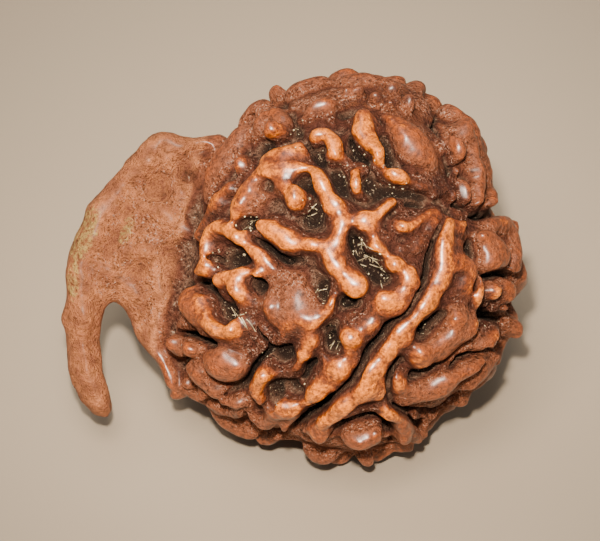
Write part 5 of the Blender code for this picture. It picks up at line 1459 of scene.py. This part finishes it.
@dataclass(frozen=True)
class Stone:
    """The stone itself, one closed piece.

    Attributes:
        egg: the body without its ridges.
        fin: the fin with its trunk.
        step: the size of a cell of clay.
        triangles: how many the surface is brought down to.
        waves: how wide and how high the shell's bumps are, for each kind.
        swelling_blend: how wide the fillets at the swellings' feet are.
        near: how far round a corner its marks look for a ridge or a cleft.
        wide: how far they look for a broad one.
        seed: for everything random in its form.
    """

    egg: Egg
    fin: Fin
    step: float = 0.15
    triangles: int = 192_000
    waves: tuple[tuple[float, float], ...] = ((1.5, 0.07), (0.75, 0.06), (0.4, 0.04))
    swelling_blend: float = 0.5
    near: float = 0.6
    wide: float = 1.5
    seed: int = 7

    def clay(self) -> tuple[Clay, float]:
        """Models the stone.

        Returns:
            The clay and the height of the flat spot under it.
        """
        clay = Clay(self.step, self.seed)
        face = Face(self.egg)
        height = self.egg.height_at(*clay.place)
        clay.far = np.clip(height, -FAR, FAR).astype(np.float32)
        for spot in SWELLINGS:
            clay.add(face.swelling(clay, spot), self.swelling_blend)
        self.fin.lay_on(clay)
        face.raise_lumps(clay)
        Back(self.egg).model(clay, face)
        face.press_clefts(clay)
        clay.soften(2)
        clay.roughen(self.waves, self.seed)
        return clay, Foot().slice_off(clay)

    def build(
        self, clay: Clay, place: Place, points: np.ndarray, quads: np.ndarray
    ) -> bpy.types.Mesh:
        """Brings the surface down to its number of triangles.

        Args:
            clay: what the surface was made of.
            place: where it stands.
            points: the surface's corners, as the eye sees the face.
            quads: its faces.

        Returns:
            The mesh, in the frame's metres, with its marks.
        """
        mesh = bpy.data.meshes.new("clay")
        mesh.from_pydata(points.tolist(), [], quads.tolist())
        mesh.update()
        source = placed("clay", mesh)
        thin = source.modifiers.new("thin", "DECIMATE")
        thin.ratio = self.triangles / (2 * len(quads))
        made = evaluated_mesh(source)
        corners = np.empty(len(made.vertices) * 3, np.float32)
        made.vertices.foreach_get("co", corners)
        corners = corners.reshape(-1, 3).astype(float)
        for mark, values in self.marks(clay, corners).items():
            layer = made.attributes.new(mark.value, "FLOAT", "POINT")
            layer.data.foreach_set("value", np.clip(values, 0, 2).astype(np.float32))
        stands = place.out(corners)
        stands[:, 2] = np.maximum(stands[:, 2], 0)
        made.vertices.foreach_set("co", stands.astype(np.float32).ravel())
        return made

    def marks(self, clay: Clay, corners: np.ndarray) -> dict[Mark, np.ndarray]:
        """Works out what the finish reads.

        Args:
            clay: the stone.
            corners: the corners of its mesh, as the eye sees the face, one a row.

        Returns:
            A value for each corner, for each mark.
        """
        u, v, w = corners.T
        height = self.egg.height_at(u, v, w)
        reaches = (self.near, self.wide)
        near, wide = (clay.read(clay.crowding(reach), corners) for reach in reaches)
        fin = smooth_step(-0.3, 0.7, np.interp(v, FIN_LINE_V, FIN_LINE_U) - u)
        # Under half of what lies round a crest is stone, and over half of what lies round a cleft.
        crest = 0.65 * smooth_step(0.56, 0.3, near) + 0.35 * smooth_step(0.5, 0.3, wide)
        # This mark is partly dirt and partly painted shade: it darkens the creases, the clefts and
        # the ridges' feet.
        dirt = 0.9 * smooth_step(0.48, 0.74, near) + 0.6 * smooth_step(0.48, 0.7, wide)
        # Dirt and painted shade also lie wherever the stone is deeper than the valley floor.
        dirt += 0.5 * smooth_step(0.2, -0.8, height)
        faces_eye = smooth_step(-0.5, 0.5, w)
        sides = smooth_step(8.5, 10.5, np.hypot(u, v))
        pink = np.maximum(soft_spots(u, v, PINK_SPOTS) * faces_eye, sides)
        # What stands highest wears most and takes the painted sheen, and the pink skin wears less.
        worn = crest * smooth_step(0.3, 1.3, height) * (1 - 0.45 * pink)
        return {
            Mark.WORN: worn * (1 - 0.9 * fin),
            Mark.DIRT: dirt * (1 - 0.6 * fin),
            Mark.FIN: fin,
            Mark.PULP: soft_spots(u, v, PULP_SPOTS) * faces_eye * smooth_step(0.46, 0.6, near),
            Mark.PINK: pink,
            Mark.CHAR: soft_spots(u, v, CHAR_SPOTS) * faces_eye,
            Mark.SKIN: (1 - 0.6 * worn) * smooth_step(0.7, 0.1, dirt),
            Mark.GRIT: smooth_step(0.3, 0.8, dirt),
            Mark.OCHRE: soft_spots(u, v, OCHRE_SPOTS) * smooth_step(-4.0, -2.0, w),
        }


# The colour sockets of a Mix node: the two that go in and the one that comes out.
MIX_LOW, MIX_HIGH, MIX_OUT = 6, 7, 2


class Graph:
    """A material's nodes."""

    def __init__(self, name: str) -> None:
        """Starts a material with a Principled shader alone.

        Args:
            name: the material's name.
        """
        self.material = bpy.data.materials.new(name)
        self.material.use_nodes = True
        self.tree = self.material.node_tree
        self.shader = self.tree.nodes["Principled BSDF"]

    def add(
        self, kind: str, values: dict | None = None, out: int | str = 0, **settings: object
    ) -> bpy.types.NodeSocket:
        """Adds a node.

        Args:
            kind: the node's type, without ShaderNode before it.
            values: for each input, by name or number, what feed takes.
            out: which of its outputs is wanted.
            settings: the node's own properties.

        Returns:
            That output.
        """
        node = self.tree.nodes.new("ShaderNode" + kind)
        for name, value in settings.items():
            setattr(node, name, value)
        self.feed(node, values or {})
        return node.outputs[out]

    def feed(self, node: bpy.types.Node, values: dict) -> None:
        """Sets a node's inputs.

        Args:
            node: the node.
            values: for each input, by name or number, its value or the output that feeds it.
        """
        for key, value in values.items():
            socket = node.inputs[key]
            if isinstance(value, bpy.types.NodeSocket):
                self.tree.links.new(value, socket)
            else:
                socket.default_value = value


@dataclass(frozen=True)
class Layer:
    """One colour of the shell, which lies over those before it.

    Attributes:
        mark: the mark that says where it lies.
        tone: its colour.
        start: the mark's value at which it begins.
        full: the value from which it is complete.
        grains: how much the finest grains shift its edge.
        flecks: how much the flecks shift it.
        clouds: how much the wide clouds shift it.
        cover: how much it hides of what lies below.
    """

    mark: Mark
    tone: str
    start: float
    full: float
    grains: float = 0.0
    flecks: float = 0.0
    clouds: float = 0.0
    cover: float = 1.0


SHELL_LAYERS = (
    Layer(Mark.PINK, "#80492F", 0.1, 0.9, clouds=0.5),
    Layer(Mark.FIN, "#AE6C44", 0.1, 0.6),
    Layer(Mark.FIN, "#663A29", 0.6, 1.4, flecks=1.4, clouds=1.8, cover=0.75),
    Layer(Mark.OCHRE, "#9C8048", 0.8, 1.15, flecks=1.6, clouds=0.4, cover=0.8),
    Layer(Mark.WORN, "#8E3F08", 0.2, 0.9, flecks=0.8, clouds=0.6, cover=0.88),
    # Golden tops of the crests: a painted sheen over the orange of their wear.
    Layer(Mark.WORN, "#E07806", 0.64, 1.15, flecks=1.0, clouds=0.8, cover=0.9),
    Layer(Mark.SKIN, "#2E170F", 0.95, 1.3, grains=-1.8, flecks=-0.8, cover=0.7),
    # Pale specks on the bare skin: painted glints of its grains.
    Layer(Mark.SKIN, "#C8A48E", 1.05, 1.35, grains=1.8, flecks=0.6, cover=0.7),
    Layer(Mark.CHAR, "#26120F", 0.9, 1.1, flecks=1.2, cover=0.75),
    # Dark brown at the ridges' feet and in the valleys: painted shade, with the dirt that lies there.
    Layer(Mark.DIRT, "#42231A", 0.02, 0.42, flecks=0.8, grains=0.6, cover=0.8),
    Layer(Mark.DIRT, "#604434", 0.5, 1.1, flecks=1.0, grains=0.8, cover=0.85),
    # Near black in the deepest clefts and under overhangs: painted shadow.
    Layer(Mark.DIRT, "#0C0705", 1.2, 2.0, flecks=1.8, grains=1.0, cover=0.9),
    Layer(Mark.GRIT, "#A8947C", 1.12, 1.5, grains=1.8, flecks=1.0, cover=0.55),
    Layer(Mark.GRIT, "#1A100C", 0.95, 1.3, grains=-1.6, flecks=-0.8, cover=0.7),
    Layer(Mark.PULP, "#8C7658", 1.15, 1.4, flecks=1.0, grains=1.4, cover=0.7),
)


@dataclass(frozen=True)
class OiledShell:
    """The woody shell of a rudraksha stone, dried, brushed clean and oiled by years of handling.

    Wood is a dielectric of IOR about 1.5. The oil darkens it and evens out its gloss, the crests are
    rubbed to a waxy shine with small highlights and carry a painted golden sheen on their tops, and
    the flanks keep the granular, duller skin, whose flecks carry painted light and shade and whose
    palest specks are painted glints. The clefts hold the dried pulp of the fruit. Dirt darkens them,
    and painted shade deepens that to near black in the deepest of them. The widths of the patterns
    are matched, and the finest grains are two pixels of the picture wide, as coarse as they need to
    show.

    Attributes:
        flank: the colour of the bare shell.
        layers: what lies over it.
        ior: of the wood.
        gloss: how much of its own reflection the rough wood keeps.
        wax: how much of the polish the crests have.
        wax_ior: of the polish.
        wax_roughness: of the polish.
        roughness: of the flanks.
        dirt_dulls: how much rougher the stone is in its dirty, shaded hollows.
        wear_polishes: how much smoother the crests are.
        wear_flattens: how much of the relief is rubbed off the crests.
        fleck_relief: how much higher the flecks stand than the grains.
        fleck_range: the values of the flecks between which their shade changes.
        fleck_light_and_shade: how many times as bright as the colour the flecks are at each end, as
            painted light and shade of their relief over their own tone.
        grain_mm: how wide the finest grains are.
        fleck_mm: how wide the flecks are.
        cloud_mm: how wide the clouds of colour are.
        relief_mm: how high the relief of grains and flecks is.
    """

    flank: str = "#552D1D"
    layers: tuple[Layer, ...] = SHELL_LAYERS
    ior: float = 1.5
    gloss: float = 0.12
    wax: float = 1.0
    wax_ior: float = 1.65
    wax_roughness: float = 0.3
    roughness: float = 0.55
    dirt_dulls: float = 0.4
    wear_polishes: float = 0.16
    wear_flattens: float = 0.5
    fleck_relief: float = 1.4
    fleck_range: tuple[float, float] = (0.36, 0.64)
    fleck_light_and_shade: tuple[float, float] = (0.6, 1.42)
    grain_mm: float = 0.12
    fleck_mm: float = 0.3
    cloud_mm: float = 1.1
    relief_mm: float = 0.28

    def material(self) -> bpy.types.Material:
        """Builds the finish.

        Returns:
            The material.
        """
        graph = Graph("oiled_rudraksha_shell")
        place = graph.add("TexCoord", out="Object")
        marks = {m: graph.add("Attribute", out="Fac", attribute_name=m.value) for m in Mark}
        pattern = {"Vector": place, "Detail": 3.0, "Roughness": 0.65}
        clouds, flecks, grains = (
            graph.add("TexNoise", {**pattern, "Scale": 1 / (size * MM)})
            for size in (self.cloud_mm, self.fleck_mm, self.grain_mm)
        )
        colour = linear(self.flank)
        for layer in self.layers:
            part = marks[layer.mark]
            shifts = ((grains, layer.grains), (flecks, layer.flecks), (clouds, layer.clouds))
            for noise, amount in shifts:
                values = {0: noise, 1: amount, 2: part}
                part = graph.add("Math", values, operation="MULTIPLY_ADD")
            middle = (layer.grains + layer.flecks + layer.clouds) / 2
            values = {"Value": part, "To Max": layer.cover}
            values.update({"From Min": layer.start + middle, "From Max": layer.full + middle})
            part = graph.add("MapRange", values, interpolation_type="SMOOTHSTEP")
            values = {0: part, MIX_LOW: colour, MIX_HIGH: linear(layer.tone)}
            colour = graph.add("Mix", values, MIX_OUT, data_type="RGBA")
        # The flecks lighten and darken the colour: painted light and shade of their relief, over
        # their own tone.
        ends = ("From Min", "From Max", "To Min", "To Max")
        values = dict(zip(ends, self.fleck_range + self.fleck_light_and_shade))
        shade = graph.add("MapRange", {"Value": flecks, **values})
        grey = graph.add("CombineColor", dict.fromkeys(range(3), shade))
        values = {0: 1.0, MIX_LOW: colour, MIX_HIGH: grey}
        colour = graph.add("Mix", values, MIX_OUT, data_type="RGBA", blend_type="MULTIPLY")
        values = {0: marks[Mark.DIRT], 1: self.dirt_dulls, 2: self.roughness}
        rough = graph.add("Math", values, operation="MULTIPLY_ADD")
        values = {0: marks[Mark.WORN], 1: -self.wear_polishes, 2: rough}
        rough = graph.add("Math", values, operation="MULTIPLY_ADD", use_clamp=True)
        wax = graph.add("Math", {0: marks[Mark.WORN], 1: self.wax}, operation="MULTIPLY")
        values = {0: flecks, 1: self.fleck_relief, 2: grains}
        relief = graph.add("Math", values, operation="MULTIPLY_ADD")
        values = {0: marks[Mark.WORN], 1: -self.wear_flattens, 2: 1.0}
        kept = graph.add("Math", values, operation="MULTIPLY_ADD")
        relief = graph.add("Math", {0: relief, 1: kept}, operation="MULTIPLY")
        values = {"Height": relief, "Strength": 1.0, "Distance": self.relief_mm * MM}
        values = {
            "Base Color": colour,
            "Roughness": rough,
            "Normal": graph.add("Bump", values),
            "IOR": self.ior,
            "Specular IOR Level": self.gloss,
            "Coat Weight": wax,
            "Coat Roughness": self.wax_roughness,
            "Coat IOR": self.wax_ior,
        }
        graph.feed(graph.shader, values)
        return graph.material


@dataclass(frozen=True)
class DriedPulp:
    """What the fruit's flesh leaves behind: pale dry fibres, matte and papery.

    Attributes:
        light: the colour of the clean fibres.
        dark: the colour of the soiled ones.
        roughness: of all of them.
        patch_mm: how wide the soiled patches are.
        grain_mm: how wide the grains of their skin are.
        relief_mm: how high those stand.
    """

    light: str = "#D0BC92"
    dark: str = "#5E4D36"
    roughness: float = 0.8
    patch_mm: float = 5 / 7
    grain_mm: float = 1 / 9
    relief_mm: float = 0.05

    def material(self) -> bpy.types.Material:
        """Builds the finish.

        Returns:
            The material.
        """
        graph = Graph("dried_fruit_pulp")
        pattern = {"Vector": graph.add("TexCoord", out="Object"), "Detail": 2.0}
        patches = graph.add("TexNoise", {**pattern, "Scale": 1 / (self.patch_mm * MM)})
        part = graph.add("MapRange", {"Value": patches, "From Min": 0.35, "From Max": 0.65})
        values = {0: part, MIX_LOW: linear(self.dark), MIX_HIGH: linear(self.light)}
        colour = graph.add("Mix", values, MIX_OUT, data_type="RGBA")
        fine = graph.add("TexNoise", {**pattern, "Scale": 1 / (self.grain_mm * MM)})
        values = {"Height": fine, "Strength": 0.5, "Distance": self.relief_mm * MM}
        bump = graph.add("Bump", values)
        values = {"Base Color": colour, "Roughness": self.roughness, "Normal": bump}
        graph.feed(graph.shader, values)
        return graph.material


@dataclass(frozen=True)
class PaperSweep:
    """Matte pale card under the stone. Its faint tooth keeps it from looking like plastic.

    Attributes:
        colour: of the card.
        roughness: of the card.
        tooth_mm: how wide the bumps of its surface are.
        relief_mm: how high they are.
    """

    colour: str = "#958672"
    roughness: float = 0.9
    tooth_mm: float = 10 / 9
    relief_mm: float = 0.1

    def material(self) -> bpy.types.Material:
        """Builds the finish.

        Returns:
            The material.
        """
        graph = Graph("matte_card")
        pattern = {"Vector": graph.add("TexCoord", out="Object"), "Detail": 2.0}
        fine = graph.add("TexNoise", {**pattern, "Scale": 1 / (self.tooth_mm * MM)})
        values = {"Height": fine, "Strength": 0.05, "Distance": self.relief_mm * MM}
        bump = graph.add("Bump", values)
        values = {"Base Color": linear(self.colour), "Roughness": self.roughness, "Normal": bump}
        graph.feed(graph.shader, values)
        return graph.material


@dataclass(frozen=True)
class Fibres:
    """Fibres of dried pulp that are caught in the clefts.

    Attributes:
        strands: each the middle as u and v, its reach, its turn in degrees and how many fibres.
        thin: half a fibre's thickness.
        bends: how many points a fibre is drawn through.
        stray: how far its turn strays from the strand's, in degrees.
        scatter: how far its middle strays from the strand's.
        bow: how far it bows to the side at most, as a share of its length.
        lift: how far it lifts off the surface at most.
        seed: for the places of the fibres.
    """

    strands: tuple[tuple[float, float, float, float, int], ...]
    thin: float = 0.045
    bends: int = 6
    stray: float = 28.0
    scatter: float = 0.2
    bow: float = 0.3
    lift: float = 0.12
    seed: int = 11

    def build(self, clay: Clay, place: Place) -> bpy.types.Mesh:
        """Lays the fibres on the surface.

        Args:
            clay: what they lie on.
            place: where the stone stands.

        Returns:
            Their mesh, in the frame's metres.
        """
        rng = random.Random(self.seed)
        curve = bpy.data.curves.new("fibres", "CURVE")
        curve.dimensions = "3D"
        curve.bevel_depth = self.thin * MM
        curve.bevel_resolution = 0
        curve.resolution_u = 3
        for u, v, reach, turn, count in self.strands:
            for _ in range(count):
                spline = curve.splines.new("NURBS")
                self.lay_fibre(spline, clay, place, rng, (u, v, reach, turn))
        return evaluated_mesh(placed("fibres", curve))

    def lay_fibre(
        self,
        spline: bpy.types.Spline,
        clay: Clay,
        place: Place,
        rng: random.Random,
        strand: tuple[float, float, float, float],
    ) -> None:
        """Lays one wavering fibre, which follows the surface and lifts off it a little.

        Args:
            spline: the fibre's curve, still empty.
            clay: what it lies on.
            place: where the stone stands.
            rng: where its waver comes from.
            strand: the middle as u and v, how far it reaches and its turn in degrees.
        """
        u, v, reach, turn = strand
        cosine, sine = turned(turn + rng.gauss(0, self.stray))
        start = np.array([u + rng.gauss(0, self.scatter), v + rng.gauss(0, self.scatter)])
        length = reach * rng.uniform(0.5, 1.0)
        bow = rng.uniform(-self.bow, self.bow)
        lift = rng.uniform(0.0, self.lift)
        spline.points.add(self.bends - 1)
        spline.use_endpoint_u = True
        spline.order_u = 3
        for i, point in enumerate(spline.points):
            t = i / (self.bends - 1) - 0.5
            way = np.array([cosine, sine]) * t * length
            side = np.array([-sine, cosine]) * bow * (0.25 - t * t) * length
            spot = start + way + side
            point.co = (*place.spot(spot[0], spot[1], clay.top_at(spot[0], spot[1]) + lift), 1.0)
            point.radius = 1.0 - abs(t)


@dataclass(frozen=True)
class Crumbs:
    """Crumbs of dried pulp and grit that stick in the clefts.

    Attributes:
        beds: each the middle as u and v, half the width, half the height and the turn in degrees.
        crowd: how many crumbs lie on a square millimetre of a bed.
        half: half a crumb's size, the smallest and the largest.
        uneven: how many times its size it measures along each axis, the least and the most.
        stands: how far its middle stands over the surface, as a share of half its size.
        seed: for their places and shapes.
    """

    beds: tuple[tuple[float, ...], ...]
    crowd: float = 8.0
    half: tuple[float, float] = (0.035, 0.1)
    uneven: tuple[float, float] = (0.6, 1.4)
    stands: float = 0.3
    seed: int = 23

    def build(self, clay: Clay, place: Place) -> bpy.types.Mesh:
        """Strews the crumbs.

        Args:
            clay: what they lie on.
            place: where the stone stands.

        Returns:
            Their mesh, in the frame's metres.
        """
        rng = random.Random(self.seed)
        made = bmesh.new()
        for u, v, wide, tall, turn in self.beds:
            cosine, sine = turned(turn)
            for _ in range(round(self.crowd * math.pi * wide * tall)):
                reach, way = math.sqrt(rng.random()), rng.uniform(0, 2 * math.pi)
                run, rise = wide * reach * math.cos(way), tall * reach * math.sin(way)
                spot = (u + run * cosine - rise * sine, v + run * sine + rise * cosine)
                half = rng.uniform(*self.half) * rng.random() ** 0.5
                at = place.spot(*spot, clay.top_at(*spot) + self.stands * half)
                shape = Matrix.Diagonal([half * MM * rng.uniform(*self.uneven) for _ in range(3)])
                roll = Euler([rng.uniform(0, 3) for _ in range(3)]).to_matrix()
                matrix = Matrix.Translation(at) @ roll.to_4x4() @ shape.to_4x4()
                bmesh.ops.create_icosphere(made, subdivisions=1, radius=1.0, matrix=matrix)
        return drawn("crumbs", made)


class Beam(Enum):
    """How a lamp gives its light: from a soft square, or as a round pool with soft edges."""

    SQUARE = "AREA"
    POOL = "SPOT"


@dataclass(frozen=True)
class Lamp:
    """A lamp that points at the stone.

    Attributes:
        name: its name.
        beam: how it gives its light.
        way: where it hangs, from the stone, as u, v and w.
        far: how far off it hangs, in metres.
        size: its width in metres.
        power: in watts.
        tint: its colour.
        pool: the radius of its pool on the stone, in metres.
    """

    name: str
    beam: Beam
    way: Point
    far: float
    size: float
    power: float
    tint: str = "#FFFFFF"
    pool: float = 0.034

    def hang(self, place: Place, aim: Vector) -> None:
        """Hangs the lamp.

        Args:
            place: where the stone stands.
            aim: the point of the frame that the lamp points at.
        """
        light = bpy.data.lights.new(self.name, self.beam.value)
        light.energy = self.power
        light.color = linear(self.tint)[:3]
        if self.beam is Beam.POOL:
            light.shadow_soft_size = self.size / 2
            light.spot_size = 2 * math.atan(self.pool / self.far)
            light.spot_blend = 1.0
        else:
            light.size = self.size
        way = Vector(place.turn @ unit(np.array(self.way)))
        lamp = placed(self.name, light)
        lamp.location = aim + way * self.far
        lamp.rotation_mode = "QUATERNION"
        lamp.rotation_quaternion = way.to_track_quat("Z", "Y")


LAMPS = (
    Lamp("pool", Beam.POOL, (-0.03, 0.12, 1.0), 0.6, 0.03, 44.0, "#FFF4E6"),
    Lamp("key", Beam.SQUARE, (-0.12, 0.35, 1.0), 0.6, 0.24, 4.6, "#FFF4E6"),
    Lamp("fill", Beam.SQUARE, (0.5, -0.1, 1.0), 0.6, 0.3, 0.5),
    Lamp("top", Beam.SQUARE, (-0.3, 1.0, 0.6), 0.7, 0.5, 1.6),
)


@dataclass(frozen=True)
class Studio:
    """The floor, the light and the camera.

    Attributes:
        lamps: what lights the stone.
        sky: the colour of the light from all round.
        glow: how strong that is.
        aim: what the middle of the picture shows, as u and v.
        wide: how wide the picture is at the stone's middle, in millimetres.
        distance: from the camera to the stone, in metres.
        floor: half the floor's width, in metres.
        film: the width of the camera's film, in millimetres.
        clip: the nearest and the furthest that the camera sees, in metres.
    """

    lamps: tuple[Lamp, ...] = LAMPS
    sky: str = "#F4F1EC"
    glow: float = 0.27
    aim: tuple[float, float] = (-3.0, -0.03)
    wide: float = 36.0
    distance: float = 1.5
    floor: float = 1.5
    film: float = 36.0
    clip: tuple[float, float] = (0.05, 10.0)

    def set_up(self, place: Place) -> None:
        """Lays the floor, hangs the lamps and sets up the camera.

        Args:
            place: where the stone stands.
        """
        made = bmesh.new()
        bmesh.ops.create_grid(made, x_segments=1, y_segments=1, size=self.floor)
        floor = placed("floor", drawn("floor", made))
        floor.data.materials.append(PaperSweep().material())
        aim = place.spot(*self.aim, 0.0)
        for lamp in self.lamps:
            lamp.hang(place, aim)
        world = bpy.data.worlds.new("studio")
        world.use_nodes = True
        glow = world.node_tree.nodes["Background"].inputs
        glow["Color"].default_value = linear(self.sky)
        glow["Strength"].default_value = self.glow
        bpy.context.scene.world = world
        self.set_camera(place, aim)

    def set_camera(self, place: Place, aim: Vector) -> None:
        """Sets up the camera straight in front of the face.

        Args:
            place: where the stone stands.
            aim: what the middle of the picture shows, as a point of the frame.
        """
        lens = bpy.data.cameras.new("camera")
        lens.sensor_width = self.film
        lens.lens = lens.sensor_width * self.distance / (self.wide * MM)
        lens.clip_start, lens.clip_end = self.clip
        camera = placed("camera", lens)
        camera.location = aim + Vector(place.turn @ TO_EYE) * self.distance
        camera.rotation_mode = "QUATERNION"
        camera.rotation_quaternion = Matrix(place.turn.tolist()).to_quaternion()
        bpy.context.scene.camera = camera


def main() -> None:
    """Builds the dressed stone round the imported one."""
    logging.basicConfig(level=logging.INFO, format="%(name)s: %(message)s")
    for old in list(bpy.data.objects):
        bpy.data.objects.remove(old)
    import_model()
    stone = Stone(Egg(), Fin(FIN_OUTLINE, FIN_FOLDS, FIN_DENTS))
    clay, level = stone.clay()
    points, quads = clay.surface()
    place = Place(points, level + PRESSED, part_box(NODE))
    mesh = stone.build(clay, place, points, quads)
    shell = finished_piece("oiled_stone", mesh, OiledShell().material())
    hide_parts(NODE)
    mesh = Fibres(STRANDS).build(clay, place)
    fibres = finished_piece("dried_pulp_fibres", mesh, DriedPulp().material())
    mesh = Crumbs(PULP_SPOTS).build(clay, place)
    crumbs = finished_piece("dried_pulp_crumbs", mesh, DriedPulp().material())
    for piece in (shell, fibres, crumbs):
        LOG.info("%s: %d faces", piece.name, len(piece.data.polygons))
    Studio().set_up(place)


if __name__ == "__main__":
    main()
